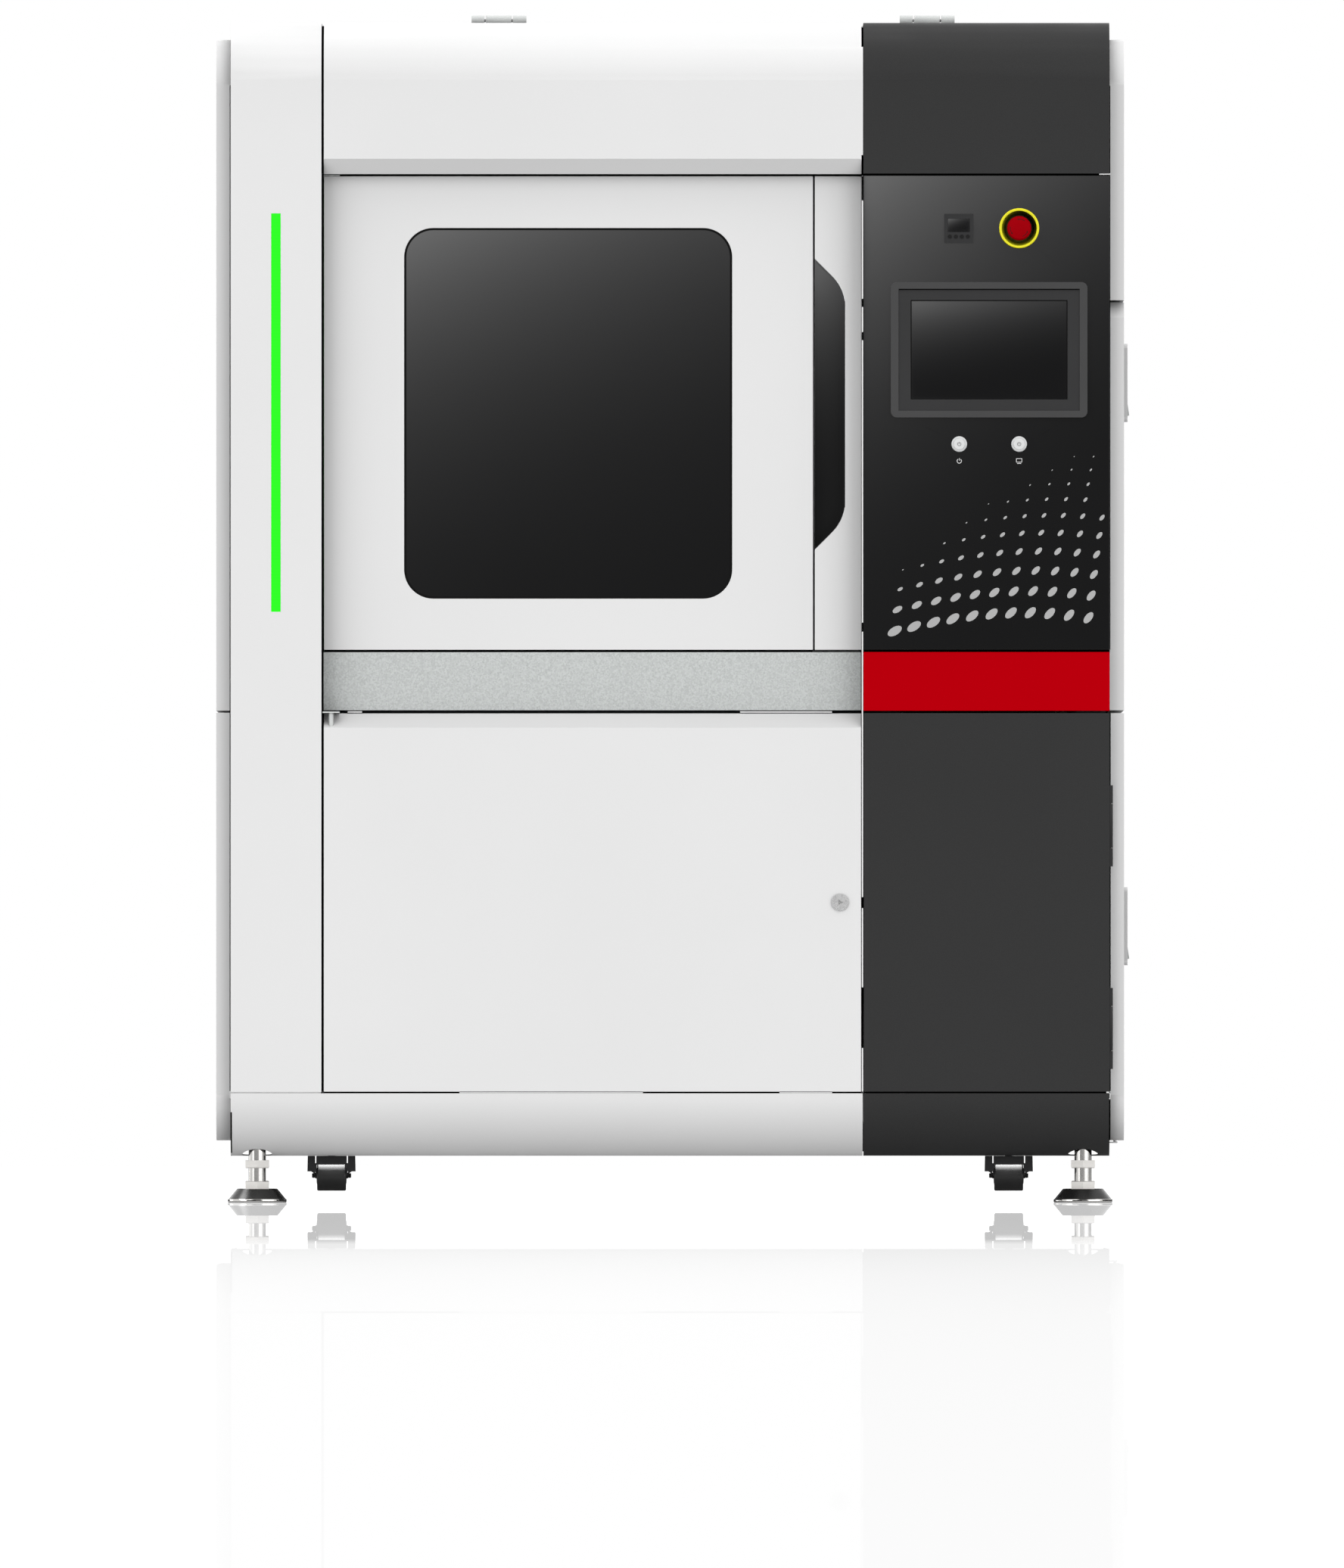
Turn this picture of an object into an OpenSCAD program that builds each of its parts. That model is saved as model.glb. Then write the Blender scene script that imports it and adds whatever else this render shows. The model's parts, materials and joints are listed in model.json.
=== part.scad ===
// Floor-standing stereolithography resin printer.
// Millimetres. X to the right, Y to the rear, Z up; the machine stands on z = 0.

/* [Cabinet] */
// Overall height to the flat top
body_h = 1950; // [1900:1:2000]
// Width over the front panels, without the side covers
body_w = 1452; // [1440:1:1500]
// Depth from the front plane to the rear plane
body_d = 1300; // [1280:1:1360]
// Radius of the rounded top edges
top_r = 96; // [70:1:110]
// Height of the cabinet's lower edge above the floor
skirt_z0 = 77; // [77:1:77]
// Height of the seam on top of the skirt
skirt_z1 = 180; // [176:1:180]
// Width of the left column cover
left_w = 150; // [140:1:152]
// Width of the dark column
dark_w = 406.6; // [400:0.2:420]
// Sheet metal thickness
sheet = 2; // [1.5:0.5:2.5]
// Depth of the recess that holds the window door
recess = 40; // [36:1:44]
// Gap between two neighbouring panels
gap = 4; // [3:0.5:5]

/* [Side covers] */
// How far a side cover stands out from the body
side_t = 24; // [20:1:30]
// Distance of a side cover from the front and rear planes
side_inset = 25; // [22:1:30]
// Corner radius of the side covers
side_r = 75; // [50:1:90]
// Lower edge of the side covers
side_z0 = 102.5; // [100:0.5:110]
// Upper edge of the side covers
side_z1 = 1922; // [1880:1:1925]

/* [Front openings] */
// Height of the stone band's lower edge
stone_z0 = 813; // [813:1:813]
// Height of the stone band's upper edge
stone_z1 = 909; // [909:1:909]
// Height of the seam under the hood
hood_z0 = 1699; // [1699:1:1699]
// Width of the window door
window_door_w = 808; // [780:1:812]
// Width of the window
window_w = 542; // [480:1:560]
// Height of the window
window_h = 612.5; // [540:0.5:620]
// Corner radius of the window
window_r = 48; // [20:1:60]
// Length of the status light
led_len = 658; // [400:1:700]
// Width of the status light
led_w = 15.3; // [10:0.1:20]

/* [Operator panel] */
// Outer width of the screen bezel
hmi_w = 325; // [310:1:330]
// Outer height of the screen bezel
hmi_h = 223.8; // [215:0.1:230]
// Diameter of the emergency stop head
estop_d = 40; // [36:1:42]
// Travel of the emergency stop
estop_travel = 5; // [3:0.5:6]
// Outer diameter of the push button bezels
button_d = 25.8; // [24:0.1:28]
// Face size of the temperature controller
ctrl_w = 48.5; // [48:0.1:50]

/* [Process] */
// Side length of the build platform
platform_w = 600; // [560:1:600]
// Travel of the build platform into the vat
platform_travel = 400; // [300:1:400]
// Lead of the ball screw
screw_lead = 10; // [5:1:20]
// Diameter of the ball screw
screw_d = 20; // [16:1:25]

/* [Feet and castors] */
// Diameter of a foot's pad
foot_d = 97; // [80:1:100]
// Diameter of a foot's stud
foot_stud_d = 28.5; // [24:0.5:30]
// Diameter of a castor wheel
wheel_d = 50; // [46:1:50]
// Width of a castor wheel
wheel_w = 48; // [40:1:48]

/* [Hidden] */

$fn = 96;
e = 0.15;                       // gap that keeps two tubes apart
hw = body_w / 2;
fy = -body_d / 2;               // front plane
ry = body_d / 2;                // rear plane
py = fy + recess;               // recess plane
top = body_h;
yh = -250;                      // hood hinge line
hood_ax_z = top + 9.2;          // hood hinge axis height

lx = -hw + left_w;              // right edge of the left column
dx = hw - dark_w;               // left edge of the dark column
cx0 = lx + gap;                 // centre section, left
cx1 = dx - 3.4;                 // centre section, right
xc = (lx + dx) / 2;             // centre of the process area

door_x1 = cx0 + window_door_w;  // right edge of the window door
jamb_x0 = door_x1 + 3.1;        // left edge of the jamb strip
door_z0 = stone_z1 + gap;
door_z1 = hood_z0 - 3.4;
low_z0 = skirt_z1 + 3;
low_z1 = stone_z0 - 5.5;
panel_z0 = stone_z1 + gap;
panel_z1 = hood_z0 - 3;

win_x0 = cx0 + 132.5;
win_z0 = 997.5;

pivot_x = cx0 + 12;             // pivot axis of both white doors
pivot_front_y = py + 8;
pivot_low_y = fy + 8;
dark_ax_x = hw - 0.3;           // axis of the dark door
dark_ax_y = fy + 10;
side_ax_x = hw + 18;            // axis of the side doors
side_ax_y = ry - side_inset - 27;

foot_x = hw - 43.5;
rear_foot_out = 7.7;             // rear feet stand this much wider
rear_castor_out = 5.8;
foot_y = -fy - 81.5;
castor_x = 560;
castor_y = 520;
castor_ax_z = 44;
function feet_at(sy) = foot_x + (sy > 0 ? rear_foot_out : 0);
function castors_at(sy) = castor_x + (sy > 0 ? rear_castor_out : 0);
castor_off = 22;

hmi_x = 526.9;                  // centre of the screen
hmi_z = 1408.2;
estop_x = 576.5;
estop_z = 1608.8;
btn_x1 = 477.6;
btn_x2 = 576.5;
btn_z = 1252.5;
ctrl_x = 476.8;
ctrl_z = 1608.6;

lock_x = 280.5;
lock_z = 495.7;

// moves the origin to the middle of the whole footprint: the levers stand out on
// the right, the emergency stop in front and the cable gland behind
origin_shift = [-4.5, (28.8 - 9.1) / 2, 0];

WHITE = [0.90, 0.90, 0.90];
DARK = [0.20, 0.20, 0.20];
GLOSS = [0.09, 0.09, 0.095];
BLACK = [0.05, 0.05, 0.05];
STEEL = [0.74, 0.75, 0.76];
STONE = [0.77, 0.79, 0.78];
RED = [0.72, 0.0, 0.05];

// ---------- shared shapes ----------

module box(a, b) { translate(a) cube(b - a); }

// outline in X-Z, extruded from y0 to y0 + t
module xz(y0, t) { translate([0, y0 + t, 0]) rotate([90, 0, 0]) linear_extrude(t) children(); }

// outline in Y-Z, extruded from x0 to x0 + t
module yz(x0, t) { translate([x0, 0, 0]) rotate([90, 0, 90]) linear_extrude(t) children(); }

// outline in X-Y, extruded from z0 to z0 + t
module xy(z0, t) { translate([0, 0, z0]) linear_extrude(t) children(); }

module rr(x0, y0, x1, y1, r) {
    translate([x0 + r, y0]) square([x1 - x0 - 2 * r, y1 - y0]);
    translate([x0, y0 + r]) square([x1 - x0, y1 - y0 - 2 * r]);
    for (x = [x0 + r, x1 - r], y = [y0 + r, y1 - r]) translate([x, y]) circle(r = r);
}

module rect(x0, y0, x1, y1) { translate([x0, y0]) square([x1 - x0, y1 - y0]); }

module along_x(x, y, z, d, l) { translate([x, y, z]) rotate([0, 90, 0]) cylinder(d = d, h = l); }
module along_y(x, y, z, d, l) { translate([x, y, z]) rotate([-90, 0, 0]) cylinder(d = d, h = l); }

// square tube between two corners, bored along its length
module tube(a, b, wall = 3) {
    s = b - a;
    difference() {
        box(a, b);
        if (s[0] >= s[1] && s[0] >= s[2])
            box(a + [-1, wall, wall], b + [1, -wall, -wall]);
        else if (s[1] >= s[2])
            box(a + [wall, -1, wall], b + [-wall, 1, -wall]);
        else
            box(a + [wall, wall, -1], b + [-wall, -wall, 1]);
    }
}

// region under the rounded front top edge, in Y-Z
module nose(y0, y1, z0, z1, r) {
    rect(y0 + r, z0, y1, z1);
    rect(y0, z0, y0 + r, z1 - r);
    translate([y0 + r, z1 - r]) circle(r = r);
}

// ---------- structure ----------

module frame() color([0.30, 0.31, 0.33]) {
    b0 = 84.1; b1 = 130.5;
    // corner blocks for the feet
    for (sx = [-1, 1], sy = [-1, 1]) difference() {
        translate([sx * foot_x - 37.5, sy * foot_y - 37.5, 100]) cube([75, 75, 50]);
        translate([sx * feet_at(sy), sy * foot_y, 90]) cylinder(d = foot_stud_d + 0.1, h = 70);
    }
    // base ring
    for (sy = [-1, 1])
        tube([-644.8, sy * castor_y - 25, b0], [644.8, sy * castor_y + 25, b1]);
    for (sx = [-1, 1])
        tube([sx * 695 - 25, -foot_y + 37.5 + e, 100], [sx * 695 + 25, foot_y - 37.5 - e, 150 - e]);
    for (x = [-607, 355])
        tube([x - 25, -castor_y + 25 + e, b0], [x + 25, castor_y - 25 - e, b1]);
    // posts
    for (sx = [-1, 1], sy = [-1, 1])
        tube([sx * 695 - 25, sy * 581 - 25, 150 + e], [sx * 695 + 25, sy * 581 + 25, 1690]);
    for (x = [-607, 355], sy = [-1, 1])
        tube([x - 25, sy * castor_y - 25, b1 + e], [x + 25, sy * castor_y + 25, 1690]);
    // rails along the depth: vat level and top level
    for (x = [-607, 355], z = [330, 1640])
        tube([x - 25, -castor_y + 25 + e, z], [x + 25, castor_y - 25 - e, z + 50]);
    for (sx = [-1, 1])
        tube([sx * 695 - 25, -556 + e, 1640], [sx * 695 + 25, 556 - e, 1690]);
    // vat bearers, stone bearers and top beams across the width
    for (y = [-325, 325])
        tube([-582 + e, y - 25, 330], [330 - e, y + 25, 380]);
    for (sy = [-1, 1], z = [stone_z0 - 50.2, 1640])
        tube([-582 + e, sy * castor_y - 25, z], [330 - e, sy * castor_y + 25, z + 50]);
    for (x = [-550, 292])
        tube([x - 24, -castor_y + 25 + e, stone_z0 - 50.2], [x + 24, castor_y - 25 - e, stone_z0 - 0.2]);
    // short ties to the outer rails
    for (y = [-400, 400], z = [[100.4, 130.7], [1640, 1690]]) {
        tube([-670 + e, y - 25, z[0]], [-632 - e, y + 25, z[1]]);
        tube([380 + e, y - 25, z[0]], [670 - e, y + 25, z[1]]);
    }
    // castor plates with their king pins
    for (sx = [-1, 1], sy = [-1, 1]) translate([sx * castors_at(sy), sy * castor_y, 0]) {
        difference() {
            translate([-39.5, -26, 80.6]) cube([79, 52, 3.4]);
            for (a = [-31, 31], b = [-19, 19]) translate([a, b, 70]) cylinder(d = 7, h = 20, $fn = 32);
        }
        translate([0, 0, 73.5]) cylinder(d = 12, h = 7.2, $fn = 48);
    }
}

module inner_panels() color([0.83, 0.84, 0.85]) {
    // floor pans
    box([-581.5, -494, 131], [329.5, 494, 133]);
    box([380.5, -494, 131], [669.5, 530, 133]);
    // chamber walls
    box([-581.5, -494, 913], [-579.5, 494, 1639]);
    box([327.5, -494, 913], [329.5, 494, 1639]);
    box([-581.5, 562, 913], [329.5, 564, 1639]);
    // lower cabinet walls
    box([326, -494, 385], [328, 494, 760]);
    box([-580, -494, 385], [-578, 494, 760]);
    // optics shelf with the beam opening
    difference() {
        box([-632, -545, 1691], [380, 545, 1694]);
        translate([xc, 0, 1680]) cylinder(d = 160, h = 30);
    }
    // frame around the window door opening
    y1 = py + 32;
    box([-574, y1, stone_z1 + 1], [-545, y1 + 3, 1695.8]);
    box([210, y1, stone_z1 + 1], [316, y1 + 3, 1695.8]);
    box([-545 + e, y1, stone_z1 + 1], [210 - e, y1 + 3, 945]);
    box([-545 + e, y1, 1665], [210 - e, y1 + 3, 1695.8]);
    // frame around the lower opening
    y2 = fy + 41;
    box([-575, y2, 184], [-545, y2 + 3, 808]);
    box([292, y2, 184], [316, y2 + 3, 808]);
    box([-545 + e, y2, 184], [292 - e, y2 + 3, 212]);
    box([-545 + e, y2, 772], [292 - e, y2 + 3, 808]);
}

module granite_base() color(STONE)
    xy(stone_z0, stone_z1 - stone_z0)
        difference() {
            rect(cx0 - 2, py, cx1, 560);
            rect(xc - 365, -400, xc + 365, 405);
        }

// ---------- front covers ----------

module left_column_cover() color(WHITE) {
    z0 = skirt_z1 + 2;
    yb = yh - 3;
    difference() {
        union() {
            yz(-hw, left_w) difference() {
                nose(fy, yb, z0, top, top_r);
                nose(fy + sheet, yb + 1, z0 - 1, top - sheet, top_r - sheet);
            }
            for (x = [-hw, lx - sheet]) yz(x, sheet)
                intersection() {
                    nose(fy, yb, z0, top, top_r);
                    union() {
                        rect(fy, z0, fy + 64, top);
                        rect(fy, 1700, yb, top);
                    }
                }
        }
        xz(fy - 1, 12) rect(-651.15 - led_w / 2 - 0.1, 975.4, -651.15 + led_w / 2 + 0.1, 975.6 + led_len);
    }
}

module status_light() color([0.19, 1.0, 0.14])
    xz(fy, 11) rect(-651.15 - led_w / 2, 975.5, -651.15 + led_w / 2, 975.5 + led_len);

// skirt profile: front plane, rounded lower edge, in Y-Z
module skirt_profile(t) {
    r = skirt_z1 - skirt_z0;
    difference() {
        intersection() {
            translate([fy + r, skirt_z1]) circle(r = r);
            rect(fy - 1, skirt_z0 - 1, fy + r, skirt_z1);
        }
        if (t > 0) translate([fy + r, skirt_z1]) circle(r = r - t);
    }
}

module skirt(x0, x1, foot_at, end_x) {
    difference() {
        union() {
            yz(x0, x1 - x0) skirt_profile(sheet);
            yz(end_x, sheet) skirt_profile(0);
            box([x0, fy + sheet - 0.2, skirt_z1 - sheet], [x1, fy + 30, skirt_z1]);
        }
        translate([foot_at, -foot_y, 60]) cylinder(d = 50, h = 60);
    }
    // side plate to the rear
    box([end_x, fy + skirt_z1 - skirt_z0 + 0.3, skirt_z0], [end_x + sheet, side_ax_y - 14, 128]);
}

module skirt_white() color(WHITE) skirt(-hw, dx - 1.4, -foot_x, -hw);
module skirt_dark() color(DARK) skirt(dx, hw, foot_x, hw - sheet);

// D-shaped outline of the pull recess, in X-Z
module pull_outline(d = 0) {
    x0 = jamb_x0 - 1; z0 = 1077.5; z1 = 1560;
    r = 72;
    w = 51 - d;
    c = r * (1 - cos(45));
    difference() {
        union() {
            rect(x0, z0 + w + 20, x0 + w, z1 - w - 20);
            polygon([[x0, z0 + d], [x0 + w - c, z0 + d + w - c], [x0 + w - c, z1 - d - w + c], [x0, z1 - d]]);
            for (s = [0, 1]) {
                zc = s == 0 ? z0 + d + w - c + r * sin(45) : z1 - d - w + c - r * sin(45);
                intersection() {
                    translate([x0 + w - r, zc]) circle(r = r);
                    rect(x0, s == 0 ? zc - r : zc, x0 + w, s == 0 ? zc : zc + r);
                }
            }
        }
        rect(x0 - 200, z0, x0, z1);
    }
}

module jamb_trim() color(WHITE) {
    // jamb strip beside the window door
    difference() {
        union() {
            box([jamb_x0, py, door_z0], [cx1, py + sheet, door_z1]);
            box([cx1 - sheet, py, door_z0], [cx1, py + 28, door_z1]);
        }
        xz(py - 1, 4) pull_outline(0);
    }
    // slotted seam strip beside the dark column
    difference() {
        box([cx1 + 0.5, fy, low_z0], [cx1 + 2.9, fy + 95, panel_z1]);
        for (s = [[1655, 1700], [1479, 1492.5], [1424, 1437.5], [942.5, 957.5], [486, 504], [255, 355]])
            box([cx1 - 1, fy - 1, s[0]], [cx1 + 4, fy + 12, s[1]]);
    }
}

module pull_recess() color(GLOSS)
    difference() {
        xz(py + 0.6, 25.4) pull_outline(0.8);
        xz(py - 1, 24.6) difference() {
            pull_outline(2.6);
            rect(-1000, 0, jamb_x0 + 1.6, 3000);
        }
        box([jamb_x0 - 2, py - 1, 1000], [jamb_x0, py + 30, 1700]);
        box([jamb_x0 - 2, py - 1, 1085], [jamb_x0 + 2, py + 23.6, 1552]);
    }

module control_panel() color(GLOSS)
    difference() {
        union() {
            box([dx, fy, panel_z0], [hw, fy + 4, panel_z1]);
            for (x = [dx, hw - sheet]) box([x, fy + 3, panel_z0], [x + sheet, fy + 50, panel_z1]);
        }
        xz(fy - 1, 6) rect(ctrl_x - 22.5, ctrl_z - 22.5, ctrl_x + 22.5, ctrl_z + 22.5);
        xz(fy - 1, 6) rect(hmi_x - 150, hmi_z - 103, hmi_x + 150, hmi_z + 103);
        along_y(estop_x, fy - 1, estop_z, 30.4, 8);
        for (x = [btn_x1, btn_x2]) along_y(x, fy - 1, btn_z, 22.4, 8);
    }

module hmi_bezel() color([0.19, 0.19, 0.195])
    difference() {
        union() {
            xz(fy - 5, 5 - 0.1) rr(hmi_x - hmi_w / 2, hmi_z - hmi_h / 2, hmi_x + hmi_w / 2, hmi_z + hmi_h / 2, 10);
            xz(fy - 0.5, 40) rect(hmi_x - 149.6, hmi_z - 102.6, hmi_x + 149.6, hmi_z + 102.6);
        }
        xz(fy - 6, 2.6) rect(hmi_x - 149.5, hmi_z - 100.6, hmi_x + 149.5, hmi_z + 100.6);
        xz(fy - 6, 5.4) rect(hmi_x - 129.5, hmi_z - 82, hmi_x + 129.5, hmi_z + 82);
        xz(fy + 4, 30) rect(hmi_x - 146, hmi_z - 99, hmi_x + 146, hmi_z + 99);
    }

module hmi_screen() color([0.05, 0.05, 0.055])
    xz(fy - 1.9, 1.2) rect(hmi_x - 129.4, hmi_z - 81.9, hmi_x + 129.4, hmi_z + 81.9);

key_x = [for (i = [0:3]) ctrl_x - 14.8 + i * 9.9];
key_z = ctrl_z - 13.5;

module temp_controller() color([0.10, 0.10, 0.10])
    difference() {
        union() {
            xz(fy - 3, 2.9) rr(ctrl_x - ctrl_w / 2, ctrl_z - ctrl_w / 2, ctrl_x + ctrl_w / 2, ctrl_z + ctrl_w / 2, 1.5);
            xz(fy - 0.3, 60) rect(ctrl_x - 22.3, ctrl_z - 22.3, ctrl_x + 22.3, ctrl_z + 22.3);
        }
        xz(fy - 4, 1.8) rect(ctrl_x - 18.2, ctrl_z - 6, ctrl_x + 18.2, ctrl_z + 16.4);
        for (x = key_x) along_y(x, fy - 4, key_z, 6.7, 4);
    }

module key(i) color([0.30, 0.30, 0.31])
    xz(fy - 3.6, 2.6) translate([key_x[i], key_z]) circle(d = 6.5, $fn = 48);

module key_1() key(0);
module key_2() key(1);
module key_3() key(2);
module key_4() key(3);

// turned about the panel normal: profile in radius and height above the panel
module turned(x, z) { translate([x, fy, z]) rotate([90, 0, 0]) rotate_extrude() children(); }

module estop_guard() color([0.86, 0.80, 0.10]) {
    turned(estop_x, estop_z) difference() {
        polygon([[11.05, 0.1], [33, 0.1], [33, 22], [31.8, 24], [29, 24], [27.8, 22.6], [22.5, 5], [11.05, 5]]);
        circle(r = 0.1, $fn = 16);
    }
    turned(estop_x, estop_z) polygon([[11.05, -30], [15, -30], [15, -0.2], [11.05, -0.2]]);
}

module estop_button() color([0.75, 0.02, 0.03])
    turned(estop_x, estop_z)
        polygon([[0, -24], [11, -24], [11, 14], [18.5, 14], [estop_d / 2, 15.5], [estop_d / 2, 24], [17.5, 27], [9, 28.4], [0, 28.8]]);

module button_bezels() color([0.82, 0.83, 0.84])
    for (x = [btn_x1, btn_x2]) {
        turned(x, btn_z) polygon([[9.6, 0.1], [button_d / 2, 0.1], [button_d / 2, 1.4], [button_d / 2 - 1.6, 3], [9.6, 3]]);
        turned(x, btn_z) polygon([[9.6, -26], [11, -26], [11, -0.1], [9.6, -0.1]]);
    }

module push_cap(x) color([0.88, 0.89, 0.90])
    turned(x, btn_z) polygon([[0, -16], [9.5, -16], [9.5, 3.9], [9, 4.4], [1.9, 4.4], [1.9, 4.0], [0, 4.0]]);

module power_button() push_cap(btn_x1);
module computer_button() push_cap(btn_x2);

module red_band() color(RED) {
    box([dx, fy, stone_z0 - 1], [hw, fy + sheet, stone_z1]);
    box([dx, fy + sheet + e, stone_z0 - 1], [dx + sheet, fy + 50, stone_z1]);
    box([hw - sheet, fy + sheet + e, stone_z0 - 1], [hw, fy + 50, stone_z1]);
}

// ---------- hood ----------

module hood_white() color(WHITE) {
    yb = yh - 3;
    lip_y = fy + 19;
    union() {
        yz(cx0, cx1 - cx0) difference() {
            nose(fy, yb, hood_z0 + 25, top, top_r);
            nose(fy + sheet, yb + 1, hood_z0 + 24, top - sheet, top_r - sheet);
        }
        // slanted lower lip
        yz(cx0, cx1 - cx0)
            polygon([[fy, hood_z0 + 25.2], [fy, hood_z0 + 24.8], [lip_y, hood_z0], [py + 38, hood_z0],
                     [py + 38, hood_z0 + 2], [lip_y + 1, hood_z0 + 2], [fy + 2, hood_z0 + 25.6]]);
        for (x = [cx0, cx1 - sheet]) yz(x, sheet) difference() {
            nose(fy, yb, hood_z0 + 0.01, top, top_r);
            polygon([[fy - 1, hood_z0 + 25.4], [lip_y, hood_z0 - 0.2], [fy - 1, hood_z0 - 1]]);
        }
        // seam edge beside the dark half
        intersection() {
            box([cx1 - 0.2, fy, 1730], [cx1 + 2.6, fy + 60, 1909]);
            yz(cx1 - 1, 6) nose(fy, yb, 1700, top, top_r);
        }
    }
}

module hood_dark() color(DARK) {
    yb = yh - 3;
    yz(dx, dark_w) difference() {
        nose(fy, yb, hood_z0 + 0.5, top, top_r);
        nose(fy + sheet, yb + 1, hood_z0 - 1, top - sheet, top_r - sheet);
    }
    for (x = [dx, hw - sheet]) yz(x, sheet) nose(fy, yb, hood_z0 + 0.5, top, top_r);
    box([dx, fy + 1, hood_z0 + 0.5], [hw, fy + 26, hood_z0 + 2.5]);
    // moving hinge leaves under both halves' rear edge
    for (x = hinge_xs) {
        difference() {
            union() {
                along_x(x - 20.5, yh, hood_ax_z, 17.6, 41);
                box([x - 20.5, yh - 11, top + 0.4], [x + 20.5, yh, top + 4]);
                box([x - 45.5, yh - 48, top + 0.4], [x + 45.5, yh - 9.6, top + 3.4]);
            }
            along_x(x - 50, yh, hood_ax_z, 5.1, 100);
        }
    }
    // tie bar that joins both halves from inside
    box([cx0 + 40, yh - 60, top - 22], [cx1 - 3, yh - 30, top - 2.2]);
    box([dx + 3, yh - 60, top - 22], [hw - 40, yh - 30, top - 2.2]);
}

hinge_xs = [-283.8, 426.3];

module hinge_leaves_fixed() color([0.72, 0.74, 0.73]) {
    for (x = hinge_xs) {
        difference() {
            union() {
                along_x(x - 45.5, yh, hood_ax_z, 17.6, 21);
                along_x(x + 23.5, yh, hood_ax_z, 17.6, 22);
                for (q = [[x - 45.5, x - 24.5], [x + 23.5, x + 45.5]])
                    box([q[0], yh, top + 0.4], [q[1], yh + 11, top + 4]);
                box([x - 45.5, yh + 9.6, top + 0.4], [x + 45.5, yh + 48, top + 3.4]);
            }
            along_x(x - 24.5, yh, hood_ax_z, 5.1, 48);
        }
        along_x(x - 45, yh, hood_ax_z, 5, 90);
    }
    // black hinges of the dark door
    for (z = dark_hinge_z) {
        for (q = [[z - 67, z - 37], [z + 37, z + 67]]) {
            translate([dark_ax_x, dark_ax_y, q[0]]) cylinder(d = 11.6, h = 30, $fn = 48);
            box([hw - 4.5, dark_ax_y, q[0]], [hw - 1.5, fy + 89, q[1]]);
        }
        box([hw - 4.5, fy + 26, z - 37.1], [hw - 1.5, fy + 89, z + 37.1]);
        translate([dark_ax_x, dark_ax_y, z - 40]) cylinder(d = 6, h = 80, $fn = 48);
    }
    // pivot pins of the window door
    translate([pivot_x, pivot_front_y, stone_z1 + 0.1]) cylinder(d = 8, h = 22, $fn = 48);
    translate([pivot_x, pivot_front_y, door_z1 - 20]) cylinder(d = 8, h = 21, $fn = 48);
    box([pivot_x - 12, pivot_front_y - 7, door_z1 + 0.6], [pivot_x + 14, py + 100, door_z1 + 2.4]);
    box([pivot_x - 12, py + 70, 1694.1], [pivot_x + 14, py + 100, door_z1 + 1]);
    // pivot pins of the lower door
    translate([pivot_x, pivot_low_y, skirt_z1 + 0.1]) cylinder(d = 8, h = 24, $fn = 48);
    translate([pivot_x, pivot_low_y, low_z1 - 44]) cylinder(d = 8, h = 46, $fn = 48);
    box([pivot_x - 14, pivot_low_y - 7, low_z1 + 1], [pivot_x + 14, fy + 58, low_z1 + 3.2]);
}

dark_hinge_z = [287.2, 622];

// ---------- doors ----------

module front_door() color(WHITE) {
    x0 = cx0; x1 = door_x1;
    difference() {
        union() {
            box([x0, py, door_z0], [x1, py + sheet, door_z1]);
            difference() {
                box([x0, py + 1, door_z0], [x1, py + 28, door_z1]);
                box([x0 + sheet, py, door_z0 + sheet], [x1 - sheet, py + 29, door_z1 - sheet]);
            }
            // stiffening collar round the window
            xz(py + 1, 17) rr(win_x0 - 14, win_z0 - 14, win_x0 + window_w + 14, win_z0 + window_h + 14, window_r + 14);
            // pivot blocks
            box([x0 + 1, py + 1, door_z0], [x0 + 25, py + 24, door_z0 + 26]);
            box([x0 + 1, py + 1, door_z1 - 26], [x0 + 25, py + 24, door_z1]);
        }
        xz(py - 1, 30) rr(win_x0, win_z0, win_x0 + window_w, win_z0 + window_h, window_r);
        translate([pivot_x, pivot_front_y, door_z0 - 5]) cylinder(d = 8.1, h = 40, $fn = 48);
        translate([pivot_x, pivot_front_y, door_z1 - 35]) cylinder(d = 8.1, h = 40, $fn = 48);
        // finger groove in the free edge
        box([x1 - 5, py + 8, 1150], [x1 + 1, py + 22, 1490]);
    }
}

module window_pane() color([0.12, 0.12, 0.13])
    xz(py + 0.6, 5) rr(win_x0 + 1.6, win_z0 + 1.6, win_x0 + window_w - 1.6, win_z0 + window_h - 1.6, window_r - 1.6);

module lower_door() color(WHITE) {
    x1 = cx1 - 0.7;
    difference() {
        union() {
            difference() {
                yz(cx0, x1 - cx0) polygon([[fy, low_z0], [fy, low_z0 + 601], [py - 2, low_z1], [py - 2, low_z1 - 20], [fy + 30, low_z1 - 20], [fy + 30, low_z0]]);
                yz(cx0 + sheet, x1 - cx0 - 2 * sheet)
                    polygon([[fy + sheet, low_z0 + sheet], [fy + sheet, low_z0 + 600], [fy + 29, low_z1 - 8.6], [fy + 31, low_z1 - 8.6], [fy + 31, low_z0 + sheet]]);
            }
            box([cx0 + 1, fy + 1, low_z0], [cx0 + 25, fy + 26, low_z0 + 28]);
            box([cx0 + 1, fy + 1, low_z0 + 560], [cx0 + 25, fy + 26, low_z0 + 601]);
            // lock collar
            along_y(lock_x, fy - 2.4, lock_z, 28, 12);
        }
        translate([pivot_x, pivot_low_y, low_z0 - 5]) cylinder(d = 8.1, h = 40, $fn = 48);
        translate([pivot_x, pivot_low_y, low_z0 + 550]) cylinder(d = 8.1, h = 70, $fn = 48);
        along_y(lock_x, fy - 5, lock_z, 20.1, 30);
    }
}

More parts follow.
